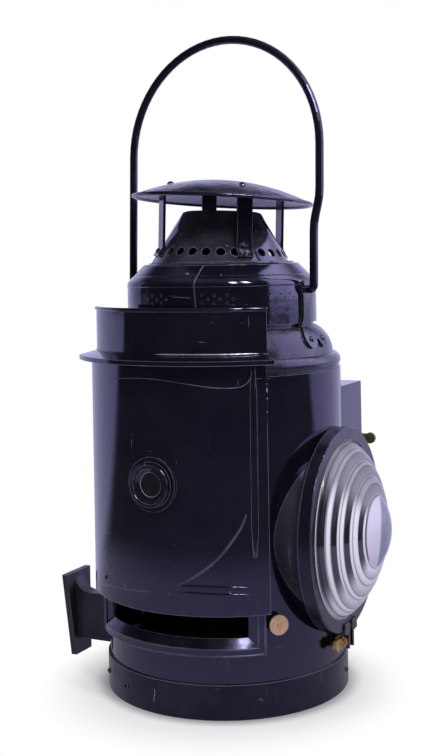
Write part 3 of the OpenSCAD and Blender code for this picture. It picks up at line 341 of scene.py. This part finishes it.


# Pressed glass with its light painted into its colour: painted highlights on the steps and painted
# shade on the treads between them on the near side, a painted sheen across each tread that is
# lighter on the lower treads, painted shade in the creases, and a painted reflection on the eye,
# lighter on one side and darker on the other. Rings are in metres from the lens axis, and a turn is
# where round the axis a change runs, as a cosine
lensLook = {
    "axisZ": 0.126,
    "reach": 0.075,
    "creases": [0.0270, 0.0355, 0.0401, 0.0486, 0.0512, 0.0582, 0.0608, 0.0645],
    "creaseWidth": 0.0005,
    "creaseAmount": 0.8,
    "steps": [(0.0272, 0.0285), (0.0358, 0.0425), (0.0488, 0.0523), (0.0583, 0.0608),
              (0.0660, 0.0672)],
    "soft": 0.0006,
    # Painted shade across each tread: where the pale colour dims towards its shaded share
    "treadShading": [(0.0272, 1.0), (0.0352, 0.25), (0.0357, 1.0), (0.0406, 0.75), (0.0484, 0.2),
               (0.0488, 1.0), (0.0515, 0.8), (0.0580, 0.15), (0.0583, 1.0), (0.0608, 0.85),
               (0.0655, 0.3), (0.0660, 1.0)],
    "paleShade": 0.42,
    "pale": (0.28, 0.26, 0.34),
    "paleLow": (0.72, 0.69, 0.88),
    "paleTurn": (0.3, -0.6),
    "nearTurn": (-0.6, -0.92),
    "treadNear": (0.014, 0.013, 0.02),
    "treadNearLow": (0.05, 0.045, 0.075),
    "treadTurn": (0.02, -0.02),
    "stepNear": (0.66, 0.64, 0.78),
    "creaseShade": (0.012, 0.011, 0.018),
    "eyeNear": (0.54, 0.5, 0.69),
    "eyeFar": (0.21, 0.212, 0.35),
    "eyeSplit": (0.895, 0.446, -0.085),
    "eyeSplitAt": (0.1134, 0.1152),
    "eyeRadius": 0.0265,
    "eyeSoft": 0.001,
    "rough": 0.12,
    "specular": 0.12,
    "transmission": 0.06,
    "ior": 1.5,
}


def creaseStops(look):
    stops = [(0.0, grey(0))]
    for ring in look["creases"]:
        for offset, level in ((-1, 0), (0, 1), (1, 0)):
            stops.append(((ring + offset * look["creaseWidth"]) / look["reach"], grey(level)))
    return stops


def stepStops(look):
    soft = look["soft"]
    stops = [(0.0, grey(0))]
    for inner, outer in look["steps"]:
        for at, level in ((inner - soft, 0), (inner, 1), (outer, 1), (outer + soft, 0)):
            stops.append((at / look["reach"], grey(level)))
    return stops


# Painted sheen of the treads, lighter on the lower ones, with painted shade across each tread
def paintedTreadSheen(tree, scaled, upward, look):
    pale = mixColour(tree, fade(tree, upward, *look["paleTurn"]), look["pale"], look["paleLow"])
    shaded = vectorMaths(tree, "MULTIPLY", pale, (look["paleShade"],) * 3).outputs["Vector"]
    treadShading = [(at / look["reach"], grey(level)) for at, level in look["treadShading"]]
    return mixColour(tree, ramp(tree, scaled, treadShading), shaded, pale)


def pressedGlass(name, look):
    material, tree, shader = newMaterial(name)
    place = objectPlace(tree, centre=(0, 0, -look["axisZ"]))
    flat = vectorMaths(tree, "MULTIPLY", place, (0, 1, 1)).outputs["Vector"]
    radius = vectorMaths(tree, "LENGTH", flat).outputs["Value"]
    scaled = maths(tree, "DIVIDE", radius, look["reach"])
    parts = tree.nodes.new("ShaderNodeSeparateXYZ")
    plug(tree, vectorMaths(tree, "NORMALIZE", flat).outputs["Vector"], parts.inputs[0])
    upward = parts.outputs["Z"]
    # On the near side the treads get painted shade and the steps painted highlights
    nearSide = fade(tree, parts.outputs["Y"], *look["nearTurn"])
    pale = paintedTreadSheen(tree, scaled, upward, look)
    treadNear = mixColour(tree, fade(tree, upward, *look["treadTurn"]), look["treadNear"],
                          look["treadNearLow"])
    tread = mixColour(tree, nearSide, pale, treadNear)
    step = mixColour(tree, nearSide, pale, look["stepNear"])
    body = mixColour(tree, ramp(tree, scaled, stepStops(look)), tread, step)
    # Painted reflection on the eye, lighter on one side than the other
    across = vectorMaths(tree, "DOT_PRODUCT", place, look["eyeSplit"]).outputs["Value"]
    eyeSide = fade(tree, across, *look["eyeSplitAt"])
    eye = mixColour(tree, eyeSide, look["eyeNear"], look["eyeFar"])
    onEye = fade(tree, radius, look["eyeRadius"], look["eyeRadius"] - look["eyeSoft"])
    body = mixColour(tree, onEye, body, eye)
    # Painted shade along the creases between the rings
    creases = maths(tree, "MULTIPLY", ramp(tree, scaled, creaseStops(look)), look["creaseAmount"])
    plug(tree, mixColour(tree, creases, body, look["creaseShade"]), shader.inputs["Base Color"])
    shader.inputs["Roughness"].default_value = look["rough"]
    shader.inputs["Specular IOR Level"].default_value = look["specular"]
    shader.inputs["Transmission Weight"].default_value = look["transmission"]
    shader.inputs["IOR"].default_value = look["ior"]
    return material


paneLook = {
    "stainGrain": (90.0, 4.0, 0.55),
    "stainRange": (0.3, 0.7),
    "colours": ((0.004, 0.004, 0.007), (0.012, 0.012, 0.02)),
    "rough": 0.08,
}


def darkPane(name, look):
    material, tree, shader = newMaterial(name)
    stain = noise(tree, objectPlace(tree), *look["stainGrain"])
    colour = ramp(tree, stain, list(zip(look["stainRange"], look["colours"])))
    plug(tree, colour, shader.inputs["Base Color"])
    shader.inputs["Roughness"].default_value = look["rough"]
    return material


paint = {
    "drum": blackEnamel("drumEnamel", scratch=0.9),
    # Frame: its lighter mottle is dust and painted highlight on the moulding
    "frame": blackEnamel(
        "frameEnamel", dent=0.6, dentScale=40.0, rough=(0.12, 0.24), edgeAmount=1.4,
        dusty=(0.011, 0.01, 0.016)),
    "door": blackEnamel("doorEnamel", dentScale=10.0, scratch=0.9, peel=0.16, edgeAmount=1.3),
    # Lighter enamel for pressed lines: rubbing, and painted highlight along their ridges
    "rubbedAndHighlit": blackEnamel(
        "rubbedAndHighlitEnamel", deep=(0.03, 0.028, 0.042), dusty=(0.07, 0.066, 0.09), rough=(0.2, 0.35)),
    "chipped": blackEnamel(
        "chippedEdge", chips=0.57, bare=(0.3, 0.3, 0.35), rough=(0.2, 0.35), edgeAmount=0.0),
    "shoulder": blackEnamel(
        "shoulderEnamel", dentScale=22.0, rough=(0.14, 0.4), specular=0.75, chips=0.64, peel=0.5,
        deep=(0.008, 0.0075, 0.01), dusty=(0.018, 0.016, 0.02), bare=(0.2, 0.17, 0.16)),
    # Painted highlight on the foot of the front cap leg, as a bright bare spot
    "head": blackEnamel(
        "headEnamel", dentScale=22.0, scratch=0.6, edgeAmount=1.0,
        marks=[((0.0405, -0.0385, 0.3418), 0.0075)]),
    # Cone: enamel made lighter as painted light, lifting it where the cap shades it
    "cone": blackEnamel(
        "coneEnamel", dentScale=22.0, deep=(0.014, 0.0135, 0.02), dusty=(0.04, 0.037, 0.048),
        scratch=0.8, chips=0.66, edgeAmount=1.2),
    "cap": blackEnamel(
        "capEnamel", dent=1.2, dentScale=60.0, scratch=0.8, rough=(0.16, 0.3), edgeAmount=1.4,
        peel=0.5, peelScale=160.0),
    "base": blackEnamel(
        "baseEnamel", dentScale=30.0, scratch=0.9, rough=(0.26, 0.42), specular=0.4,
        dusty=(0.011, 0.01, 0.017), edgeAmount=1.6),
    "bezel": blackEnamel(
        "bezelEnamel", dent=0.6, dentScale=60.0, peel=0.35, peelScale=420.0, rough=(0.2, 0.34),
        specular=0.6, edgeAmount=1.8),
    # Collar: enamel made lighter, a painted reflection of the highlights on its dish
    "collar": blackEnamel(
        "collarEnamel", dent=0.6, dentScale=30.0, peel=0.7, peelScale=520.0, rough=(0.16, 0.3),
        deep=(0.024, 0.023, 0.033), dusty=(0.034, 0.031, 0.043), chips=0.7, edgeAmount=1.3),
    "lug": blackEnamel(
        "lugEnamel", dent=0.9, dentScale=60.0, peel=0.8, rough=(0.34, 0.52), specular=0.45,
        deep=(0.019, 0.014, 0.018), dusty=(0.036, 0.028, 0.034)),
    "bail": blackEnamel(
        "bailEnamel", dent=0.3, dentScale=50.0, edgeAmount=0.0, scratch=0.4, rough=(0.14, 0.26),
        specular=0.6),
    # Near-black inside: soot, and painted shade of the inside of the drum
    "inside": blackEnamel(
        "insideSootAndShade", deep=(0.001, 0.001, 0.001), dusty=(0.004, 0.004, 0.004), rough=(0.6, 0.8),
        specular=0.1, edgeAmount=0.0, chips=0.9),
}
metal = {
    "brass": agedMetal("agedBrass"),
    "knob": agedMetal(
        "knobBrass", bright=(0.72, 0.49, 0.33), dull=(0.56, 0.37, 0.25), rough=(0.35, 0.5),
        stain=0.72),
    "copper": agedMetal(
        "shaftCopper", bright=(0.75, 0.4, 0.28), dull=(0.5, 0.26, 0.17), rough=(0.2, 0.35)),
    "bronze": agedMetal(
        "screwBronze", bright=(0.2, 0.17, 0.08), dull=(0.1, 0.085, 0.045),
        dark=(0.03, 0.025, 0.015)),
    # Near-black tin for the fount: soot, and painted shade inside the drum
    "tin": agedMetal(
        "sootyShadedTin", bright=(0.05, 0.05, 0.055), dull=(0.02, 0.02, 0.022), dark=(0.01, 0.01, 0.01),
        rough=(0.5, 0.7)),
    # Rubbed steel, also used for bright lines that are painted highlights
    "steel": agedMetal(
        "rubbedAndGlintSteel", bright=(0.6, 0.6, 0.68), dull=(0.3, 0.29, 0.35), dark=(0.05, 0.05, 0.06),
        rough=(0.25, 0.45)),
}

finishes = [
    (paint["drum"], ["body_shell", "rear_socket", "winder_bush", "lug_rivets", "draft_ring"]),
    (paint["frame"], ["door_frame"]),
    (paint["door"], ["door_panel", "door_hood", "door_rivets", "peephole_ferrule"]),
    (paint["shoulder"], ["shoulder"]),
    (paint["cone"], ["chimney_cone"]),
    (paint["head"], ["vent_dome", "cap_leg_1", "cap_leg_2", "cap_leg_3", "cap_leg_4", "leg_rivets",
                     "bail_ear_lens_side", "bail_ear_lug_side", "ear_rivets"]),
    (paint["cap"], ["smoke_cap", "cap_rivets"]),
    (paint["base"], ["base_ring", "base_rivets"]),
    (paint["bezel"], ["lens_bezel", "clasp_ear_near", "clasp_ear_far", "clasp_nut"]),
    (paint["collar"], ["lens_collar"]),
    (paint["lug"], ["bracket_lug"]),
    (paint["bail"], ["bail"]),
    (paint["inside"], ["base_floor"]),
    (metal["brass"], ["clasp_screw", "fount_collar", "filler_cap", "burner_body", "burner_cone",
                      "wick_tube", "winder_wheel"]),
    (metal["bronze"], ["socket_nut", "socket_screw"]),
    (metal["knob"], ["winder_knob"]),
    (metal["copper"], ["winder_shaft"]),
    (metal["tin"], ["oil_fount"]),
    (wovenCotton("wickCotton", (0.72, 0.67, 0.56), (0.38, 0.33, 0.25)), ["wick"]),
    (wovenCotton("gasketPacking", (0.14, 0.12, 0.1), (0.05, 0.04, 0.035)), ["lens_gasket"]),
    (pressedGlass("lensGlassWithPaintedLight", lensLook), ["lens"]),
    (darkPane("peepholePane", paneLook), ["peephole_glass"]),
]


def dress(node, material):
    slots = nodes[node].data.materials
    slots.clear()
    slots.append(material)


for material, names in finishes:
    for node in names:
        dress(node, material)
print("stage: finishes set")


# Pressed lines, seams and beads that lie on the sheet metal, in millimetres and degrees
def onDrum(radius, angle, height):
    turn = math.radians(angle)
    return Vector((radius * math.cos(turn), radius * math.sin(turn), height)) / 1000


def radially(point):
    return Vector((point.x, point.y, 0)).normalized()


def smoothPath(points, steps):
    padded = [2 * points[0] - points[1]] + points + [2 * points[-1] - points[-2]]
    path = []
    for a, b, c, d in zip(padded, padded[1:], padded[2:], padded[3:]):
        for step in range(steps):
            t = step / steps
            bend = (2 * a - 5 * b + 4 * c - d) * t ** 2
            path.append(0.5 * (2 * b + (c - a) * t + bend + (3 * b - a - 3 * c + d) * t ** 3))
    return path + [points[-1]]


def ringFrame(path, index, wide, high):
    here = path[index]
    ahead, behind = path[min(index + 1, len(path) - 1)], path[max(index - 1, 0)]
    tangent = (ahead - behind).normalized()
    side = tangent.cross(radially(here)).normalized()
    out = side.cross(tangent).normalized()
    turn = Matrix((out, side, tangent)).transposed().to_4x4()
    return Matrix.Translation(here) @ turn @ Matrix.Diagonal((high, wide, 1, 1))


def finishPiece(name, shape, material, body):
    bmesh.ops.recalc_face_normals(shape, faces=shape.faces)
    mesh = bpy.data.meshes.new(name)
    shape.to_mesh(mesh)
    shape.free()
    mesh.materials.append(material)
    for face in mesh.polygons:
        face.use_smooth = True
    piece = bpy.data.objects.new(name, mesh)
    bpy.context.scene.collection.objects.link(piece)
    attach(piece, body)


# A point is an angle and a height, and then its own radius where the line has none
lineLook = {"sides": 10, "steps": 6, "taper": 0.35, "taperRings": 4}


def pressLine(name, changes, body, material):
    look = {**lineLook, **changes}
    points = [onDrum(look.get("radius", p[-1]), p[0], p[1]) for p in look["points"]]
    path = smoothPath(points, look["steps"])
    wide, high = look["width"] / 2000, look["rise"] / 1000
    shape = bmesh.new()

    def frameAt(index):
        fromEnd = min(index, len(path) - 1 - index)
        size = look["taper"] + (1 - look["taper"]) * min(1.0, fromEnd / look["taperRings"])
        return ringFrame(path, index, wide * size, high * size)

    bmesh.ops.create_circle(shape, segments=look["sides"], radius=1.0, matrix=frameAt(0))
    edges = shape.edges[:]
    for index in range(1, len(path)):
        grown = bmesh.ops.extrude_edge_only(shape, edges=edges)["geom"]
        verts = [part for part in grown if isinstance(part, bmesh.types.BMVert)]
        edges = [part for part in grown if isinstance(part, bmesh.types.BMEdge)]
        move = frameAt(index) @ frameAt(index - 1).inverted()
        bmesh.ops.transform(shape, matrix=move, verts=verts)
    bmesh.ops.holes_fill(shape, edges=[edge for edge in shape.edges if edge.is_boundary])
    finishPiece(name, shape, material, body)


# Ribs, bars and scribed lines of the door, and the worn edges of its panel and flange. The arcs and
# the lap line use the lighter rubbed enamel, which on the arcs is a painted highlight along their
# ridges
doorRadius = 105.0
doorLines = {
    "doorLeftArc": {
        "points": [(-127, 118.6), (-124.6, 111.7), (-120.3, 103.7), (-114.8, 97.4), (-108.8, 92.1)],
        "width": 1.2, "rise": 0.4, "finish": "rubbedAndHighlit",
    },
    "doorRightArc": {
        "points": [(-55.7, 150.2), (-57.7, 141.8), (-61.3, 132), (-66.1, 121.4), (-71.2, 112.8),
                   (-77.3, 105.3), (-84.0, 99)],
        "width": 2.2, "rise": 0.8, "finish": "rubbedAndHighlit",
    },
    "doorBarUpper": {
        "points": [(-83, 99), (-76, 99.2), (-69, 99), (-62, 98.6), (-55, 98)],
        "width": 2.4, "rise": 0.9, "finish": "door",
    },
    "doorBarLower": {
        "points": [(-83, 94.6), (-76, 94.2), (-69, 93.7), (-62, 93.3), (-55, 93)],
        "width": 2.4, "rise": 0.9, "finish": "door",
    },
    "doorScribe": {
        "points": [(-135, 84.6), (-124, 87.8), (-112, 90.2), (-100, 91.8), (-87, 92.4)],
        "width": 0.9, "rise": 0.25, "finish": "door",
    },
    "doorLapLine": {
        "points": [(-130, 243), (-116, 245.2), (-101, 247.3), (-89, 246.6), (-76, 243.4),
                   (-67, 241.2), (-59.6, 241), (-55.3, 242.9), (-52.9, 248.5), (-52, 256)],
        "width": 0.7, "rise": 0.3, "finish": "rubbedAndHighlit",
    },
    "doorEdgeWear": {
        "points": [(-46.5, 214), (-46.5, 225), (-46.5, 236), (-46.5, 250)],
        "width": 0.9, "rise": 0.2, "finish": "chipped",
    },
    "flangeWear": {
        "radius": 114.1, "points": [(angle, 257.7) for angle in range(-122, -58, 6)],
        "width": 0.9, "rise": 0.3, "finish": "chipped",
    },
    "doorRib": {
        "points": [(-52.4, 119), (-52.3, 150), (-52.2, 190), (-52.1, 225), (-52, 256)],
        "width": 6.0, "rise": 0.42, "taper": 0.5, "finish": "door",
    },
}
for name, look in doorLines.items():
    pressLine(name, {"radius": doorRadius, **look}, "door", paint[look["finish"]])

# Fold line where the hood's wall meets its flange, with a bright steel line on the right: a painted
# highlight along the fold
hoodRoot = {
    "radius": 100.9, "width": 1.6, "rise": 0.8, "taper": 0.8, "steps": 3,
    "points": [(angle, 264.2) for angle in range(-142, -45, 4)],
}
hoodRootHighlight = {
    "radius": 101.1, "width": 1.3, "rise": 0.9, "taper": 0.5, "steps": 3,
    "points": [(angle, 264.6) for angle in range(-93, -46, 4)],
}
pressLine("hoodRoot", hoodRoot, "door", paint["door"])
pressLine("hoodRootHighlight", hoodRootHighlight, "door", metal["steel"])

# Lap seam of the dome's sheet, with the scribed line beside it
domeSeam = {
    "width": 1.0, "rise": 0.35, "taper": 0.7,
    "points": [(-76.2, 328.3, 62.8), (-77.4, 325, 66.1), (-78.5, 321, 70.4), (-79.3, 316.9, 74.6),
               (-79.6, 312.5, 75.8), (-79.4, 309.5, 75.5), (-79.2, 305, 75.3), (-78.8, 297, 75.3)],
}
domeScribe = {
    "radius": 75.2, "width": 0.7, "rise": 0.2,
    "points": [(-95, 305.4), (-90, 305.2), (-85, 304.9), (-80.4, 304.6)],
}
pressLine("domeSeam", domeSeam, "lamp", paint["rubbedAndHighlit"])
pressLine("domeScribe", domeScribe, "lamp", paint["rubbedAndHighlit"])

# Drawn ridges round the foot of the door opening's moulding, in the lighter rubbed enamel, a
# painted highlight along them
frameRidges = {
    "frameRidgeOuter": {
        "radius": 98.5, "width": 1.5, "rise": 0.7, "taper": 1.0, "steps": 4,
        "points": [(-139.9, 84), (-139.9, 60), (-139.6, 49.5), (-137.5, 47.6)]
                  + [(angle, 47.4) for angle in range(-134, -52, 5)]
                  + [(-50.4, 47.6), (-48.3, 49.5), (-48.0, 60), (-48.0, 84)],
    },
    "frameRidgeInner": {
        "radius": 98.5, "width": 1.3, "rise": 0.6, "taper": 1.0, "steps": 4,
        "points": [(-137, 84), (-137, 60), (-136.6, 53.2), (-135, 52.2)]
                  + [(angle, 52.1) for angle in range(-131, -54, 5)]
                  + [(-52.8, 52.2), (-51.2, 53.2), (-50.9, 60), (-50.9, 84)],
    },
}
for name, look in frameRidges.items():
    pressLine(name, look, "lamp", paint["rubbedAndHighlit"])

# Bare scratch low on the base ring
baseScratch = {
    "radius": 95.1, "width": 0.4, "rise": 0.35,
    "points": [(-99.8, 19.1), (-98.6, 16.2), (-98.9, 12.6), (-99.3, 9.6), (-99.0, 7.4)],
}
pressLine("baseScratch", baseScratch, "lamp", metal["steel"])

# Thin bright steel ring about the lens axis: a painted highlight for the glint of the glass edge
# inside the bezel
glintRing = {"x": 101.9, "z": 126.0, "radius": 66.9, "thick": 1.0, "sides": 8, "steps": 120}


def lensGlint(look):
    shape = bmesh.new()
    centre = Vector((look["x"], 0, look["z"])) / 1000
    top = centre + Vector((0, 0, look["radius"] / 1000))
    start = Matrix.Translation(top) @ Matrix.Rotation(math.radians(90), 4, "X")
    bmesh.ops.create_circle(shape, segments=look["sides"], radius=look["thick"] / 2000,
                            matrix=start)
    bmesh.ops.spin(shape, geom=shape.verts[:] + shape.edges[:], cent=centre, axis=(1, 0, 0),
                   angle=math.tau, steps=look["steps"], use_merge=True)
    finishPiece("lensGlint", shape, metal["steel"], "lamp")


lensGlint(glintRing)

# Smooth rolled corners over the dome's two folds, as radius and height in the dome's section
domeCorners = {
    "domeCorner": {"centre": (69.538, 313.23), "radius": 6.0, "start": 0, "end": 45,
                   "below": [(75.4, 312.35), (75.46, 312.8)],
                   "above": [(72.3, 318.9), (71.0, 320.14), (69.9, 321.1)]},
    "domeBrow": {"centre": (59.64, 325.75), "radius": 4.08, "start": 43, "end": 92,
                 "below": [], "above": []},
}
cornerSheet = {"bends": 12, "steps": 144, "wall": 0.0003}

# Inner flue that stands in the chimney behind its ring of holes, in metres from the cone's foot;
# its sooty near-black also paints the shade behind the holes
flue = {"foot": 0.0415, "mouth": 0.031, "low": -0.006, "high": 0.024, "steps": 72, "wall": 0.0008}


def turnSheet(name, section, look, material):
    shape = bmesh.new()
    points = [shape.verts.new(place) for place in section]
    edges = [shape.edges.new(pair) for pair in zip(points, points[1:])]
    bmesh.ops.spin(shape, geom=points + edges, cent=(0, 0, 0), axis=(0, 0, 1), angle=math.tau,
                   steps=look["steps"], use_merge=True)
    bmesh.ops.recalc_face_normals(shape, faces=shape.faces)
    bmesh.ops.solidify(shape, geom=shape.faces[:], thickness=look["wall"])
    finishPiece(name, shape, material, "lamp")


def rolledCorner(name, look):
    away, up = look["centre"]
    bend = []
    for step in range(cornerSheet["bends"] + 1):
        share = (look["end"] - look["start"]) * step / cornerSheet["bends"]
        turn = math.radians(look["start"] + share)
        bend.append((away + look["radius"] * math.cos(turn), up + look["radius"] * math.sin(turn)))
    section = [onDrum(radius, 0, height) for radius, height in look["below"] + bend + look["above"]]
    turnSheet(name, section, cornerSheet, paint["head"])


def innerFlue(look):
    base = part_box("chimney_cone")[0][2]
    section = [(look["foot"], 0, base + look["low"]), (look["mouth"], 0, base + look["high"])]
    turnSheet("innerFlue", section, look, paint["inside"])


for name, look in domeCorners.items():
    rolledCorner(name, look)
innerFlue(flue)

# A small rivet and a dimple pressed through the dome's sloping sheet
domeRivets = {
    "domeRivet": {"radius": 68.7, "angle": -85.7, "height": 322.4, "size": 3.4},
    "domeDimple": {"radius": 69.8, "angle": -64, "height": 321.3, "size": 1.4},
}
rivetHead = {"tilt": 45, "rise": 0.6, "segments": 16, "rings": 10}


def domeRivet(name, look, head):
    shape = bmesh.new()
    point = onDrum(look["radius"], look["angle"], look["height"])
    tilt = math.radians(head["tilt"])
    out = radially(point) * math.cos(tilt)
    out.z = math.sin(tilt)
    stand = Matrix.Translation(point) @ out.to_track_quat("Z", "Y").to_matrix().to_4x4()
    size = look["size"] / 2000
    bmesh.ops.create_uvsphere(
        shape, u_segments=head["segments"], v_segments=head["rings"], radius=1.0,
        matrix=stand @ Matrix.Diagonal((size, size, size * head["rise"], 1)))
    finishPiece(name, shape, paint["rubbedAndHighlit"], "lamp")


for name, look in domeRivets.items():
    domeRivet(name, look, rivetHead)
print("stage: seams and rivets laid")

# Studio: a pale table with a painted contact shadow round the lamp's base, a white backdrop behind
# the lamp, a bright wall on its right and a dark room in front, which show only in the reflections.
# Turns are in degrees about the lamp, reaches in metres from it, and the ranges of backdrop, wall
# and ceiling are cosines and sines of a mirrored direction
studio = {
    "floorSize": 8.0,
    "floorColour": (0.72, 0.72, 0.74),
    "floorRough": 0.8,
    "floorSpecular": 0.1,
    "contactShadowColour": (0.2, 0.2, 0.215),
    "contactShadowReach": (0.094, 0.109),
    "glowCentre": (0.004, -0.02, 0),
    "glowNear": 0.15,
    "glowReach": (0.085, 0.15),
    "tableReach": (0.64, 0.44),
    "table": (0.43, 0.42, 0.53),
    "rearReach": (0.1, 0.3),
    "rearFloor": (0.76, 0.75, 1.12),
    "mirroredShare": 0.92,
    "backTurn": 111.0,
    "backdrop": (0.82, 0.81, 1.25),
    "backdropEdge": (0.45, 0.44, 0.72),
    "backdropMiddle": (0.45, 0.95),
    "backdropSide": (0.31, 0.36),
    "backdropTop": (0.6, 0.35),
    "wallTurn": 60.0,
    "wall": (2.2, 2.15, 2.9),
    "wallSide": (0.39, 0.44),
    "wallFoot": (-0.085, -0.055),
    "wallEnd": (0.8, 0.4),
    "ceiling": (0.2, 0.19, 0.26),
    "ceilingHeight": (0.68, 0.95),
    "dark": (0.022, 0.021, 0.027),
    "plain": 0.5,
}
softboxAim = (0, 0, 0.22)
softboxes = [
    {"name": "topSoftbox", "place": (-0.5, -0.6, 1.8), "size": (0.8, 0.8), "power": 9.0,
     "mirrored": False},
    {"name": "nearHead", "place": (0.592, -0.659, 1.13), "size": (0.13, 0.42), "power": 6.3,
     "mirrored": True},
    {"name": "farHead", "place": (0.768, -0.441, 1.13), "size": (0.13, 0.42), "power": 6.3,
     "mirrored": True},
]


def towards(tree, vector, turn):
    angle = math.radians(turn)
    way = (math.cos(angle), math.sin(angle), 0)
    return vectorMaths(tree, "DOT_PRODUCT", vector, way).outputs["Value"]


def rayKinds(tree):
    path = tree.nodes.new("ShaderNodeLightPath")
    glossy, through = path.outputs["Is Glossy Ray"], path.outputs["Is Transmission Ray"]
    return path.outputs["Is Camera Ray"], maths(tree, "ADD", glossy, through, clamp=True)


def floorPaint(look):
    material, tree, shader = newMaterial("studioFloor")
    shader.inputs["Roughness"].default_value = look["floorRough"]
    shader.inputs["Specular IOR Level"].default_value = look["floorSpecular"]
    place = objectPlace(tree)
    reach = vectorMaths(tree, "LENGTH", place).outputs["Value"]
    # Painted contact shadow: the floor's colour darkens in a ring round the lamp's base
    clear = fade(tree, reach, *look["contactShadowReach"])
    groundWithShadow = mixColour(tree, clear, look["contactShadowColour"], look["floorColour"])
    plug(tree, groundWithShadow, shader.inputs["Base Color"])
    table = fade(tree, reach, *look["tableReach"])
    behind = fade(tree, towards(tree, place, look["backTurn"]), *look["rearReach"])
    lit = maths(tree, "MAXIMUM", table, behind)
    camera, mirrored = rayKinds(tree)
    reflected = mixColour(tree, behind, look["table"], look["rearFloor"])
    reflected = mixColour(tree, lit, look["dark"], reflected)
    glow = addNode(tree, "ShaderNodeEmission", Strength=1.0)
    plug(tree, mixColour(tree, mirrored, (1, 1, 1), reflected), glow.inputs["Color"])
    away = vectorMaths(tree, "DISTANCE", place, look["glowCentre"]).outputs["Value"]
    seen = maths(tree, "MULTIPLY", camera, fade(tree, away, *look["glowReach"], look["glowNear"]))
    share = maths(tree, "ADD", seen, maths(tree, "MULTIPLY", mirrored, look["mirroredShare"]))
    mix = tree.nodes.new("ShaderNodeMixShader")
    for socket, value in zip(mix.inputs, (share, shader.outputs[0], glow.outputs[0])):
        plug(tree, value, socket)
    plug(tree, mix.outputs[0], tree.nodes["Material Output"].inputs["Surface"])
    return material


def buildFloor(look):
    shape = bmesh.new()
    bmesh.ops.create_grid(shape, x_segments=1, y_segments=1, size=look["floorSize"])
    mesh = bpy.data.meshes.new("studioFloor")
    shape.to_mesh(mesh)
    shape.free()
    mesh.materials.append(floorPaint(look))
    floor = bpy.data.objects.new("studioFloor", mesh)
    bpy.context.scene.collection.objects.link(floor)


def buildWorld(look):
    world = bpy.data.worlds.new("studioRoom")
    bpy.context.scene.world = world
    world.use_nodes = True
    tree = world.node_tree
    direction = tree.nodes.new("ShaderNodeTexCoord").outputs["Generated"]
    split = tree.nodes.new("ShaderNodeSeparateXYZ")
    plug(tree, direction, split.inputs[0])
    height = split.outputs["Z"]
    overhead = fade(tree, height, *look["ceilingHeight"])
    room = mixColour(tree, overhead, look["dark"], look["ceiling"])
    facing = towards(tree, direction, look["backTurn"])
    middle = fade(tree, facing, *look["backdropMiddle"])
    backdrop = mixColour(tree, middle, look["backdropEdge"], look["backdrop"])
    onBackdrop = maths(tree, "MULTIPLY", fade(tree, facing, *look["backdropSide"]),
                       fade(tree, height, *look["backdropTop"]))
    room = mixColour(tree, onBackdrop, room, backdrop)
    wallward = towards(tree, direction, look["wallTurn"])
    onWall = maths(tree, "MULTIPLY", fade(tree, wallward, *look["wallSide"]),
                   fade(tree, height, *look["wallFoot"]))
    onWall = maths(tree, "MULTIPLY", onWall, fade(tree, facing, *look["wallEnd"]))
    room = mixColour(tree, onWall, room, look["wall"])
    camera, mirrored = rayKinds(tree)
    colour = mixColour(tree, mirrored, grey(look["plain"]), room)
    colour = mixColour(tree, camera, colour, (1, 1, 1))
    plug(tree, colour, tree.nodes["Background"].inputs["Color"])


def addSoftbox(lamp):
    data = bpy.data.lights.new(lamp["name"], "AREA")
    data.shape = "RECTANGLE"
    data.size, data.size_y = lamp["size"]
    data.energy = lamp["power"]
    softbox = bpy.data.objects.new(lamp["name"], data)
    bpy.context.scene.collection.objects.link(softbox)
    place = Vector(lamp["place"])
    turn = (Vector(softboxAim) - place).to_track_quat("-Z", "Y").to_matrix().to_4x4()
    softbox.matrix_world = Matrix.Translation(place) @ turn
    softbox.visible_camera = False
    softbox.visible_glossy = lamp["mirrored"]


buildFloor(studio)
buildWorld(studio)
for lamp in softboxes:
    addSoftbox(lamp)
print("stage: studio lit")
